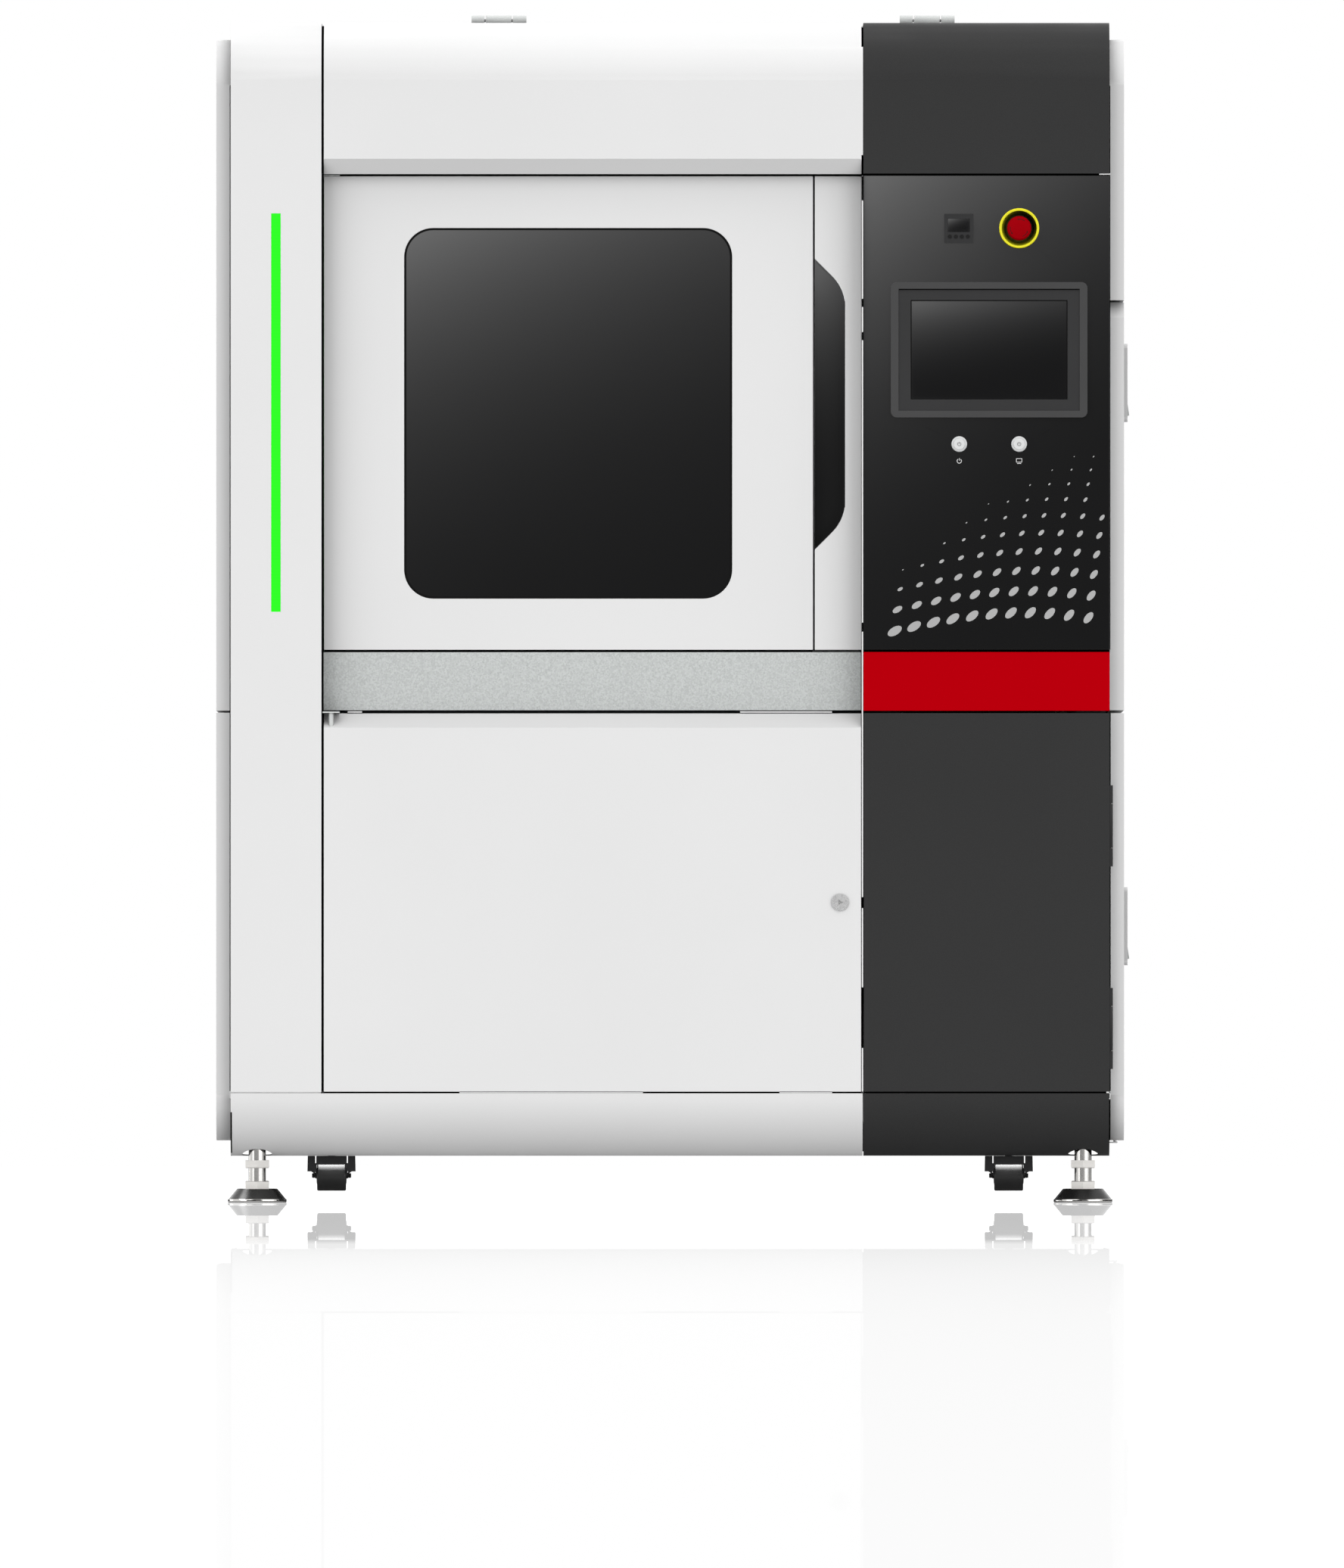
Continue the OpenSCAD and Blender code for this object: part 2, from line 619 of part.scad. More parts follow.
module cam_lock() color(STEEL) {
    difference() {
        union() {
            along_y(lock_x, fy - 2.2, lock_z, 20, 36);
            // tongue, hanging down when unlocked
            box([lock_x - 8, fy + 46, lock_z - 32], [lock_x + 8, fy + 49, lock_z + 10]);
            along_y(lock_x, fy + 33, lock_z, 12, 17);
        }
        // triangular key recess
        xz(fy - 3, 5) translate([lock_x, lock_z]) circle(r = 5.2, $fn = 3);
    }
}

module dark_door() color(DARK) {
    x0 = dx + 0.6; x1 = hw;
    difference() {
        union() {
            box([x0, fy, low_z0], [x1, fy + sheet, stone_z0 - 5]);
            difference() {
                box([x0, fy + 1, low_z0], [x1 - 7, fy + 30, stone_z0 - 5]);
                box([x0 + sheet, fy, low_z0 + sheet], [x1 - 9, fy + 31, stone_z0 - 5 - sheet]);
            }
            for (z = dark_hinge_z) {
                translate([dark_ax_x, dark_ax_y, z - 36.5]) cylinder(d = 11.6, h = 73, $fn = 48);
                box([x1 - 10, dark_ax_y - 3, z - 36.5], [dark_ax_x, dark_ax_y + 3, z + 36.5]);
            }
        }
        for (z = dark_hinge_z) translate([dark_ax_x, dark_ax_y, z - 50]) cylinder(d = 6.1, h = 100, $fn = 48);
    }
}

// ---------- side covers ----------

module side_outline() { rr(fy + side_inset, side_z0, ry - side_inset, side_z1, side_r); }
module side_inner(t) { rr(fy + side_inset + t, side_z0 + t, ry - side_inset - t, side_z1 - t, side_r - t); }

// tray between two heights and two depths; s is the side, 1 right, -1 left
module side_tray(s, y0, y1, z0, z1, cut = 0) {
    x0 = s > 0 ? hw + 0.3 : -hw - side_t;
    xi = s > 0 ? hw - 1 : -hw - side_t + sheet;
    difference() {
        yz(x0, side_t - 0.3) difference() {
            intersection() { side_outline(); rect(y0, z0, y1, z1); }
            if (cut > 0) polygon([[y0 - 1, z1 + 1], [y0 - 1, z1 - cut - 1], [y0 + cut + 1, z1 + 1]]);
        }
        yz(xi, side_t - sheet + 1) difference() {
            intersection() { side_inner(2.5); rect(y0 + 2.5, z0 + 2.5, y1 - 2.5, z1 - 2.5); }
            if (cut > 0) polygon([[y0 - 1, z1 + 1], [y0 - 1, z1 - cut - 5], [y0 + cut + 5, z1 + 1]]);
        }
    }
}

side_y0 = fy + side_inset;
side_y1 = ry - side_inset;
door_y1 = side_ax_y + 4;
seam_z = 810.6;

module left_side_covers() color(WHITE) {
    side_tray(-1, side_y0, side_y1, side_z0, seam_z - 1.6);
    side_tray(-1, side_y0, side_y1, seam_z + 1.6, side_z1);
}

module right_side_covers() color(WHITE) {
    side_tray(1, side_y0, side_y1, 1490.5, side_z1);
    // rear strips behind the doors
    side_tray(1, door_y1 + 4.5, side_y1, side_z0, seam_z - 1.6);
    side_tray(1, door_y1 + 4.5, side_y1, seam_z + 1.6, 1487.5);
    // pin plates: below the lower door, between the doors, above the upper door
    for (q = [[98, 2.4, 0, 42], [seam_z - 0.7, 1.6, 15, 30], [1488.4, 1.6, 15, 15]]) {
        box([hw - 5.8, side_ax_y - 8, q[0]], [side_ax_x + 4, side_ax_y + 8, q[0] + q[1]]);
        translate([side_ax_x, side_ax_y, q[0] + 0.5 - q[2]]) cylinder(d = 6, h = q[3], $fn = 48);
    }
}

// raised latch housing on a side door
module latch_pocket(z1)
    yz(hw + side_t - 1, 7) rr(side_y0 + 42, z1 - 129, side_y0 + 74, z1, 7);

module side_door(z0, z1, latch_z1, cut, pin_z) {
    difference() {
        union() {
            side_tray(1, side_y0, door_y1, z0, z1, cut);
            latch_pocket(latch_z1);
            for (q = pin_z) box([side_ax_x - 9, side_ax_y - 12, q[0]], [side_ax_x + 5, side_ax_y + 3.6, q[1]]);
        }
        for (q = pin_z) translate([side_ax_x, side_ax_y, q[0] - 40]) cylinder(d = 6.1, h = q[1] - q[0] + 45, $fn = 48);
        // slot that holds the lever
        yz(hw + side_t + 0.4, 10) rr(side_y0 + 46.5, latch_z1 - 123, side_y0 + 69.5, latch_z1 - 6, 4);
        box([hw + side_t - 6, side_y0 + 46.5, latch_z1 - 28], [hw + side_t + 3, side_y0 + 69.5, latch_z1 - 8]);
    }
    along_y(hw + side_t + 3.2, side_y0 + 46, latch_z1 - 16, 3, 24);
}

module side_door_upper() color(WHITE)
    side_door(seam_z + 2.4, 1487.2, 1419, 25, [[seam_z + 2.4, seam_z + 20], [1468, 1487.2]]);

module side_door_lower() color(WHITE)
    side_door(side_z0, seam_z - 2.4, 521, 0, [[side_z0 + 24, side_z0 + 44], [seam_z - 22, seam_z - 2.4]]);

// lever with its pivot at the top and a flared free end
module lever(z1) color([0.80, 0.82, 0.82])
    difference() {
        yz_lever(z1);
        along_y(hw + side_t + 3.2, side_y0 + 40, z1 - 16, 3.1, 40);
    }
module yz_lever(z1) {
    x0 = hw + side_t + 0.9;
    translate([0, side_y0 + 69, 0]) rotate([90, 0, 0]) linear_extrude(22)
        polygon([[x0, z1 - 11.5], [x0 + 3.2, z1 - 10], [x0 + 5.1, z1 - 12], [x0 + 5.1, z1 - 98], [x0 + 8.1, z1 - 118],
                 [x0 + 5.6, z1 - 119], [x0 + 2.4, z1 - 116], [x0, z1 - 104]]);
}
module latch_lever_upper() lever(1419);
module latch_lever_lower() lever(521);

// ---------- rear and top ----------

exhaust_z = 1500;
exhaust_x = -128;

module rear_panel(z0, z1) {
    difference() {
        box([-hw, ry - 22, z0], [hw, ry, z1]);
        box([-hw + sheet, ry - 23, z0 + sheet], [hw - sheet, ry - sheet, z1 - sheet]);
    }
}

module rear_covers() color(WHITE) {
    difference() {
        rear_panel(90.6, seam_z - 1.5);
        for (i = [0:11], x = [-520, -60, 400])
            xz(ry - 5, 10) rr(x, 220 + i * 24, x + 300, 228 + i * 24, 3.9);
        along_y(-620, ry - 5, 160, 40, 10);
        xz(ry - 5, 10) rect(588, 150, 636, 206);
    }
    difference() {
        rear_panel(seam_z + 1.5, 1697);
        for (i = [0:9], x = [400])
            xz(ry - 5, 10) rr(x, 1300 + i * 24, x + 260, 1308 + i * 24, 3.9);
        along_y(exhaust_x, ry - 5, exhaust_z, 150, 10);
        for (a = [0:45:315]) along_y(exhaust_x + 87.5 * cos(a), ry - 5, exhaust_z + 87.5 * sin(a), 5.5, 10);
    }
}

module top_cover() color(WHITE)
    mirror([0, 1, 0]) {
        y1 = -yh - 3;
        yz(-hw, body_w) difference() {
            nose(-ry, -(yh + 3), 1700, top, top_r);
            nose(-ry + sheet, -(yh + 3) + 1, 1699, top - sheet, top_r - sheet);
        }
        for (x = [-hw, hw - sheet]) yz(x, sheet) nose(-ry, -(yh + 3), 1700, top, top_r);
    }

module power_inlet() color(BLACK) {
    difference() {
        union() {
            xz(ry, 3) rr(584, 146, 640, 210, 3);
            xz(ry - 40, 40.2) rect(589, 151, 635, 205);
        }
        xz(ry - 30, 40) rr(597, 161, 627, 195, 3);
    }
    for (x = [604, 612, 620]) along_y(x, ry - 30.2, 178 + (x == 612 ? 6 : -4), 4, 20, $fn = 24);
    // cable gland
    difference() {
        union() {
            along_y(-620, ry - 25, 160, 39.6, 25.1);
            translate([-620, ry + 0.1, 160]) rotate([-90, 0, 0]) cylinder(d = 52, h = 9, $fn = 6);
        }
        along_y(-620, ry - 40, 160, 25, 60);
    }
}

// ---------- process ----------

module resin_vat() color([0.62, 0.64, 0.66]) {
    v = 350;
    difference() {
        box([xc - v, -390, 380.2], [xc + v, 400, 908]);
        box([xc - v + 5, -385, 386], [xc + v - 5, 395, 920]);
    }
}

module z_column() color([0.55, 0.57, 0.60]) {
    // column of two cheeks and a face plate, standing on the stone
    box([xc - 150, 430, stone_z1 + 0.1], [xc + 150, 446, 1639]);
    for (x = [xc - 150, xc + 134]) box([x, 446 + e, stone_z1 + 0.1], [x + 16, 530, 1639]);
    box([xc - 133.8, 510, stone_z1 + 0.1], [xc + 133.8, 526, 1639]);
    // screw bearings
    for (z = [926, 1590]) difference() {
        box([xc - 30, 392, z], [xc + 30, 430 - e, z + 26]);
        translate([xc, 408, z - 1]) cylinder(d = screw_d - 5.9, h = 30);
    }
}

module linear_rails() color([0.70, 0.72, 0.74]) {
    for (x = [xc - 110, xc + 110]) box([x - 10, 414, 930], [x + 10, 430 - e, 1632]);
    for (x = [xc - 420, xc + 420]) box([x - 8, -430, stone_z1 + 0.1], [x + 8, 362, stone_z1 + 14]);
}

module ball_screw() color([0.72, 0.74, 0.76]) {
    translate([xc, 408, 953]) cylinder(d = screw_d, h = 636);
    translate([xc, 408, 924]) cylinder(d = screw_d - 6, h = 710);
    // motor coupling
    translate([xc, 408, 1618]) cylinder(d = 32, h = 18);
}

plat_z = 903;

module build_platform() {
    color([0.66, 0.68, 0.70]) {
        // perforated plate
        difference() {
            box([xc - platform_w / 2, -300, plat_z - 8], [xc + platform_w / 2, 300, plat_z]);
            for (i = [-5:5], j = [-5:5]) translate([xc + i * 52, j * 52, plat_z - 10]) cylinder(d = 12, h = 14, $fn = 24);
        }
        // arms under the plate
        for (s = [-1, 1]) {
            box([xc + s * 250 - 14, -260, plat_z - 24], [xc + s * 250 + 14, 352, plat_z - 8 - e]);
            box([xc + s * 250 - 14, 332, plat_z - 8], [xc + s * 250 + 14, 352, 1340 - e]);
        }
        // cross beam and carriage
        box([xc - 290, 332, 1340], [xc + 290, 368, 1400]);
        box([xc - 140, 368 + e, 1332], [xc + 140, 382, 1530]);
        for (x = [xc - 110, xc + 110], z = [1345, 1450]) difference() {
            box([x - 22, 382 + e, z], [x + 22, 425, z + 66]);
            box([x - 10.2, 413.6, z - 1], [x + 10.2, 440, z + 70]);
        }
        // nut
        difference() {
            box([xc - 30, 382 + e, 1400], [xc + 30, 427, 1440]);
            translate([xc, 408, 1390]) cylinder(d = screw_d + 0.16, h = 60);
        }
    }
}

rec_y = -350;

module recoater() color([0.45, 0.47, 0.50]) {
    box([xc - 445, rec_y - 22, 941], [xc + 445, rec_y + 22, 985]);
    // blade
    box([xc - 330, rec_y - 6, 905], [xc + 330, rec_y + 6, 941 - e]);
    for (s = [-1, 1]) difference() {
        box([xc + s * 420 - 22, rec_y - 36, 912], [xc + s * 420 + 22, rec_y + 36, 941 - e]);
        box([xc + s * 420 - 8.2, rec_y - 40, 900], [xc + s * 420 + 8.2, rec_y + 40, stone_z1 + 14.3]);
    }
}

module laser_module() {
    color([0.16, 0.17, 0.18]) {
        // scan head over the beam opening
        box([xc - 75, -70, 1704], [xc + 75, 70, 1834]);
        translate([xc, 0, 1696]) cylinder(d = 110, h = 8);
        // mounting feet
        for (sx = [-1, 1]) box([xc + sx * 90 - 13, -70, 1694.2], [xc + sx * 90 + 13, 70, 1703.8]);
    }
    // laser, beam expander and mirror housing
    color([0.20, 0.22, 0.25]) {
        box([xc - 420, 160, 1730], [xc + 160, 290, 1840]);
        for (x = [xc - 380, xc + 90]) box([x, 170, 1694.2], [x + 40, 280, 1729.8]);
        along_x(xc + 160.2, 225, 1785, 50, 90);
        box([xc + 250.4, 180, 1694.2], [xc + 330, 270, 1830]);
    }
}

module electrical_plate() {
    color([0.80, 0.78, 0.70]) {
        box([392, 120, 180], [662, 123, 1680]);
        for (z = [340, 1650]) box([380.2, 116, z], [392.2, 123, z + 26]);
    }
    color([0.35, 0.36, 0.38]) {
        // industrial computer
        box([410, 40, 220], [644, 119.8, 420]);
        // supplies
        for (z = [470, 590]) box([410, 60, z], [520, 119.8, z + 100]);
        box([540, 70, 470], [644, 119.8, 690]);
        // drives
        for (i = [0:3]) box([408 + i * 60, 30, 760], [460 + i * 60, 119.8, 930]);
        // breaker rail and breakers
        box([405, 112, 1016], [650, 119.8, 1051]);
        for (i = [0:7]) box([412 + i * 20, 56, 990], [430 + i * 20, 111.8, 1074]);
        // controller cards
        for (z = [1130, 1260]) box([412, 76, z], [640, 119.8, z + 100]);
        // cable ducts
        for (z = [715, 955, 1095]) box([405, 60, z], [650, 119.8, z + 28]);
    }
}

// ---------- feet and castors ----------

module foot(sx, sy) translate([sx * feet_at(sy), sy * foot_y, 0]) {
    color([0.12, 0.12, 0.12]) rotate_extrude()
        polygon([[0, 0], [foot_d / 2 - 1, 0], [foot_d / 2, 1], [foot_d / 2, 4], [foot_d / 2 - 1, 5], [33.5, 22], [0, 22]]);
    color(STEEL) {
        translate([0, 0, 22]) cylinder(d = foot_stud_d, h = 107.5);
        for (q = [[22, 12], [57.5, 11.8]]) translate([0, 0, q[0]]) rotate([0, 0, 30]) cylinder(d = 39 / cos(30), h = q[1], $fn = 6);
    }
}

module foot_1() foot(-1, -1);
module foot_2() foot(1, -1);
module foot_3() foot(-1, 1);
module foot_4() foot(1, 1);

module castor_fork(sx, sy) color(BLACK) translate([sx * castors_at(sy), sy * castor_y, 0]) {
    difference() {
        union() {
            // inner channel over the wheel: crown plate, front web, two cheeks
            box([-25.1, -27, 73.6], [25.1, 27, 76.6]);
            box([-25.1, -27, 62.2], [25.1, -24, 76.6]);
            for (s = [-1, 1]) {
                yz(s * 24.75 - 0.35, 0.7) rect(-27, 61.8, 27, 76.6);
                // bridge from the cheek to the leg
                yz(s * 26.4 - 1.4, 2.8) rect(-27, 61.8, 27, 64.4);
                xz(-27, 3) polygon([[s * 24.5, 63], [s * 27.8, 63], [s * 27.8, 55.5], [s * 25.6, 44.5], [s * 24.6, 43]]);
                // leg
                yz(s * 28.6 - 1.1, 2.2) polygon([[-27, 76.6], [27, 76.6], [castor_off + 10, castor_ax_z + 2], [castor_off + 4, castor_ax_z - 3.6],
                                                 [castor_off - 4, castor_ax_z - 3.6], [-8, 50], [-27, 50]]);
                // gussets at both ends and the flared side sheet
                for (y = [-27, 24]) xz(y, 3) polygon([[s * 27.6, 76.6], [s * 39.2, 76.6], [s * 39.8, 51], [s * 33.5, 51], [s * 29.6, 48.4], [s * 27.6, 48.4]]);
                translate([0, 24.5, 0]) rotate([90, 0, 0]) linear_extrude(49)
                    polygon([[s * 36.8, 76.6], [s * 39.2, 76.6], [s * 39.8, 51], [s * 37.4, 51]]);
            }
        }
        translate([0, 0, 60]) cylinder(d = 12.1, h = 30, $fn = 48);
    }
    along_x(-30.4, castor_off, castor_ax_z, 5, 60.8, $fn = 48);
}

module castor_fork_1() castor_fork(-1, -1);
module castor_fork_2() castor_fork(1, -1);
module castor_fork_3() castor_fork(-1, 1);
module castor_fork_4() castor_fork(1, 1);

module castor_wheel(sx, sy) color(BLACK)
    translate([sx * castors_at(sy), sy * castor_y + castor_off, castor_ax_z]) rotate([0, 90, 0])
        rotate_extrude() difference() {
            union() {
                rr(0, -wheel_w / 2, wheel_d / 2, wheel_w / 2, 2.4);
                rect(0, -27.3, 4.6, 27.3);
            }
            rect(-5, -40, 2.55, 40);
        }

module castor_wheel_1() castor_wheel(-1, -1);
module castor_wheel_2() castor_wheel(1, -1);
module castor_wheel_3() castor_wheel(-1, 1);
module castor_wheel_4() castor_wheel(1, 1);

// ---------- drawing ----------

translate(origin_shift) {
    frame();
    inner_panels();
    granite_base();
    left_column_cover();
    status_light();
    skirt_white();
    skirt_dark();
    jamb_trim();
    pull_recess();
    control_panel();
    hmi_bezel();
    hmi_screen();
    temp_controller();
    estop_guard();
    button_bezels();
    red_band();
    left_side_covers();
    right_side_covers();
    rear_covers();
    top_cover();
    hinge_leaves_fixed();
    resin_vat();
    z_column();
    linear_rails();
    laser_module();
    electrical_plate();
    power_inlet();
    hood_white();
    hood_dark();
    front_door();
    window_pane();
    lower_door();
    cam_lock();
    dark_door();
    side_door_upper();
    side_door_lower();
    latch_lever_upper();
    latch_lever_lower();
    estop_button();
    power_button();
    computer_button();
    key_1();
    key_2();
    key_3();
    key_4();
    castor_fork_1();
    castor_fork_2();
    castor_fork_3();
    castor_fork_4();
    castor_wheel_1();
    castor_wheel_2();
    castor_wheel_3();
    castor_wheel_4();
    foot_1();
    foot_2();
    foot_3();
    foot_4();
    build_platform();
    ball_screw();
    recoater();
}
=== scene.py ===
import bpy, bmesh, json, math, random
from mathutils import Matrix, Vector
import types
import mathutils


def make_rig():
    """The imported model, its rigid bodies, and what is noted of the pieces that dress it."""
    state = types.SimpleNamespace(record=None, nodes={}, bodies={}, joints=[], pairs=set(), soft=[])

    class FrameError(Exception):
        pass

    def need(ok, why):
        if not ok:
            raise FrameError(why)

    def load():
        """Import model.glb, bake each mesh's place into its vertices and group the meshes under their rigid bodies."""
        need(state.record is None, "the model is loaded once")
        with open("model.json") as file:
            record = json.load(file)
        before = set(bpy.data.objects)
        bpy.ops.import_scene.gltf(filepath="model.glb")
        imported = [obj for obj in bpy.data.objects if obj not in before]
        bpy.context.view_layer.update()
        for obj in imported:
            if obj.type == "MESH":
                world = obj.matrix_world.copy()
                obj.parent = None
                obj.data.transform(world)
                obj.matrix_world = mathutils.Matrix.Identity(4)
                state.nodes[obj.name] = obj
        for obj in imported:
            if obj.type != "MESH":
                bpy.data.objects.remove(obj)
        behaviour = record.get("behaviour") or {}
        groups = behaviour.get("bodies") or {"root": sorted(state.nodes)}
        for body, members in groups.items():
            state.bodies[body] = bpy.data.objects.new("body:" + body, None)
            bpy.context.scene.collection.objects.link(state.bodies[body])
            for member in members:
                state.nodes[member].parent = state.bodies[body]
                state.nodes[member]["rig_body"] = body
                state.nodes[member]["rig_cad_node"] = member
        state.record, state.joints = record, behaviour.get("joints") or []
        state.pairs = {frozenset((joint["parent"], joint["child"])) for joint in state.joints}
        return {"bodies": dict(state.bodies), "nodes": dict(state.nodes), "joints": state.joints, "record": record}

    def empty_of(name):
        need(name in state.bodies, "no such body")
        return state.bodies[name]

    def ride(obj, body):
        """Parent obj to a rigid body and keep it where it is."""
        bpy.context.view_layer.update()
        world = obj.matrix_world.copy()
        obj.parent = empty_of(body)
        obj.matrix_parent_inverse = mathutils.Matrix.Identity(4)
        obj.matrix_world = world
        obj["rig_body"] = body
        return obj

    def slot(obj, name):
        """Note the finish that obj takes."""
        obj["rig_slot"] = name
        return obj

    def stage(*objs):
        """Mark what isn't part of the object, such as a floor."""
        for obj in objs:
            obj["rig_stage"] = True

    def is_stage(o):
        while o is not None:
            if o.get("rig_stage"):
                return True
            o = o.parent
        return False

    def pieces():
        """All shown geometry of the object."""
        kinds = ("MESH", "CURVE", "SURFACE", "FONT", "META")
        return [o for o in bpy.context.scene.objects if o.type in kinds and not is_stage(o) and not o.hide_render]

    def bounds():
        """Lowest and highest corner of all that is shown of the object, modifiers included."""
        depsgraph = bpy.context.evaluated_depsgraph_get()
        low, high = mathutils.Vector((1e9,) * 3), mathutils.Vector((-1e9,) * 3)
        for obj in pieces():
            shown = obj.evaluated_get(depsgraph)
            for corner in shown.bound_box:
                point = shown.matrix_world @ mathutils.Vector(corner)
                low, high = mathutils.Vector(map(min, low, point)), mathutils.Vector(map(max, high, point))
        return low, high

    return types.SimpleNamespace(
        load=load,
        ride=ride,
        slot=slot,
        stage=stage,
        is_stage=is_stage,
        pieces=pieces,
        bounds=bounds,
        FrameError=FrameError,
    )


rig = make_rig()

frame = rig.load()
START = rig.bounds()
NODE = frame["nodes"]
random.seed(7)

# ------------------------------------------------------------------ numbers
# Millimetres of the machine's own drawing: X from the body's middle, Y from its middle, Z up.
SX, SY = -4.5, 9.85
FY, RY, PY = -650.0, 650.0, -610.0
HW, TOP, TOP_R, YH = 726.0, 1950.0, 96.0, -250.0
XC = -128.3
STONE_TOP = 909.1
CX0, CX1, DX = -572.0, 316.0, 319.4


def P(x, y, z):
    return Vector(((x + SX) / 1000.0, (y + SY) / 1000.0, z / 1000.0))


def lin(c):
    c = c / 255.0
    return c / 12.92 if c <= 0.04045 else ((c + 0.055) / 1.055) ** 2.4


def srgb(r, g=None, b=None):
    g = r if g is None else g
    b = r if b is None else b
    return (lin(r), lin(g), lin(b))


# ------------------------------------------------------------------ materials
MATS = {}


def scaled(c, k):
    return (min(1.0, c[0] * k), min(1.0, c[1] * k), min(1.0, c[2] * k), 1.0)


class Nodes:
    """Small helper round a material's node tree."""

    def __init__(self, name):
        self.mat = bpy.data.materials.new(name)
        self.mat.use_nodes = True
        self.nt = self.mat.node_tree
        self.nt.nodes.clear()
        self.out = self.n("ShaderNodeOutputMaterial")
        self.bsdf = self.n("ShaderNodeBsdfPrincipled")
        self.link(self.bsdf.outputs[0], self.out.inputs[0])
        self.tc = self.n("ShaderNodeTexCoord")

    def n(self, kind, **props):
        node = self.nt.nodes.new(kind)
        for k, v in props.items():
            setattr(node, k, v)
        return node

    def link(self, a, b):
        self.nt.links.new(a, b)

    def mapping(self, scale):
        m = self.n("ShaderNodeMapping")
        m.inputs["Scale"].default_value = scale
        self.link(self.tc.outputs["Object"], m.inputs["Vector"])
        return m.outputs[0]

    def noise(self, scale, detail=2.0, rough=0.5, vec=None):
        t = self.n("ShaderNodeTexNoise")
        t.inputs["Scale"].default_value = scale
        t.inputs["Detail"].default_value = detail
        t.inputs["Roughness"].default_value = rough
        self.link(vec if vec is not None else self.tc.outputs["Object"], t.inputs["Vector"])
        return t.outputs["Fac"]

    def voronoi(self, scale, vec=None, feature="F1", out="Distance"):
        t = self.n("ShaderNodeTexVoronoi", feature=feature)
        t.inputs["Scale"].default_value = scale
        self.link(vec if vec is not None else self.tc.outputs["Object"], t.inputs["Vector"])
        return t.outputs[out]

    def ramp(self, fac, stops, mode="LINEAR"):
        r = self.n("ShaderNodeValToRGB")
        r.color_ramp.interpolation = mode
        el = r.color_ramp.elements
        while len(el) < len(stops):
            el.new(0.5)
        for e, (p, c) in zip(el, stops):
            e.position = p
            e.color = c if len(c) == 4 else (*c, 1.0)
        self.link(fac, r.inputs["Fac"])
        return r.outputs["Color"]

    def span(self, fac, a, b, lo=0.3, hi=0.7):
        m = self.n("ShaderNodeMapRange")
        m.inputs["From Min"].default_value = lo
        m.inputs["From Max"].default_value = hi
        m.inputs["To Min"].default_value = a
        m.inputs["To Max"].default_value = b
        self.link(fac, m.inputs["Value"])
        return m.outputs[0]

    def mix(self, fac, a, b, blend="MIX"):
        m = self.n("ShaderNodeMix", data_type="RGBA", blend_type=blend)
        if isinstance(fac, float):
            m.inputs[0].default_value = fac
        else:
            self.link(fac, m.inputs[0])
        for sock, v in ((m.inputs[6], a), (m.inputs[7], b)):
            if isinstance(v, tuple):
                sock.default_value = v if len(v) == 4 else (*v, 1.0)
            else:
                self.link(v, sock)
        return m.outputs[2]

    def math(self, op, a, b=None, clamp=False):
        m = self.n("ShaderNodeMath", operation=op, use_clamp=clamp)
        for i, v in enumerate((a, b)):
            if v is None:
                continue
            if isinstance(v, (int, float)):
                m.inputs[i].default_value = v
            else:
                self.link(v, m.inputs[i])
        return m.outputs[0]

    def bump(self, height, strength, dist, after=None):
        b = self.n("ShaderNodeBump")
        b.inputs["Strength"].default_value = strength
        b.inputs["Distance"].default_value = dist
        self.link(height, b.inputs["Height"])
        if after is not None:
            self.link(after, b.inputs["Normal"])
        return b.outputs[0]

    def set(self, **kw):
        for k, v in kw.items():
            s = self.bsdf.inputs[k.replace("_", " ")]
            if hasattr(v, "links"):
                self.link(v, s)
            else:
                s.default_value = v


def coat_paint(name, color, rough, spec=0.35, var=0.012, peel=0.06, grain=0.012, gradient=None):
    """Powder coat: faint cloudiness, fine grain in the colour and a soft orange-peel relief."""
    k = Nodes(name)
    cloud = k.noise(2.3, 4.0)
    col = k.ramp(cloud, [(0.30, scaled(color, 1 - var)), (0.70, scaled(color, 1 + var))])
    fine = k.noise(520.0, 2.0)
    speck = k.ramp(fine, [(0.30, (1 - grain,) * 3), (0.70, (1.0,) * 3)])
    col = k.mix(1.0, col, speck, "MULTIPLY")
    if gradient:
        col = gradient(k, col)
    k.set(Base_Color=col, Roughness=k.span(k.noise(14.0, 3.0), rough - 0.03, rough + 0.04))
    k.bsdf.inputs["Specular IOR Level"].default_value = spec
    k.set(Normal=k.bump(k.noise(900.0, 2.0), peel, 0.0002))
    MATS[name] = k.mat
    return k.mat


def plastic(name, color, rough, spec=0.4, var=0.03, grain=0.05, scale=1400.0, coat=0.0):
    """Moulded plastic with a fine sparked texture."""
    k = Nodes(name)
    col = k.ramp(k.noise(9.0, 3.0), [(0.3, scaled(color, 1 - var)), (0.7, scaled(color, 1 + var))])
    k.set(Base_Color=col, Roughness=k.span(k.noise(60.0, 2.0), rough - 0.04, rough + 0.05))
    k.bsdf.inputs["Specular IOR Level"].default_value = spec
    k.bsdf.inputs["Coat Weight"].default_value = coat
    k.bsdf.inputs["Coat Roughness"].default_value = 0.12
    k.set(Normal=k.bump(k.voronoi(scale), grain, 0.0001))
    MATS[name] = k.mat
    return k.mat


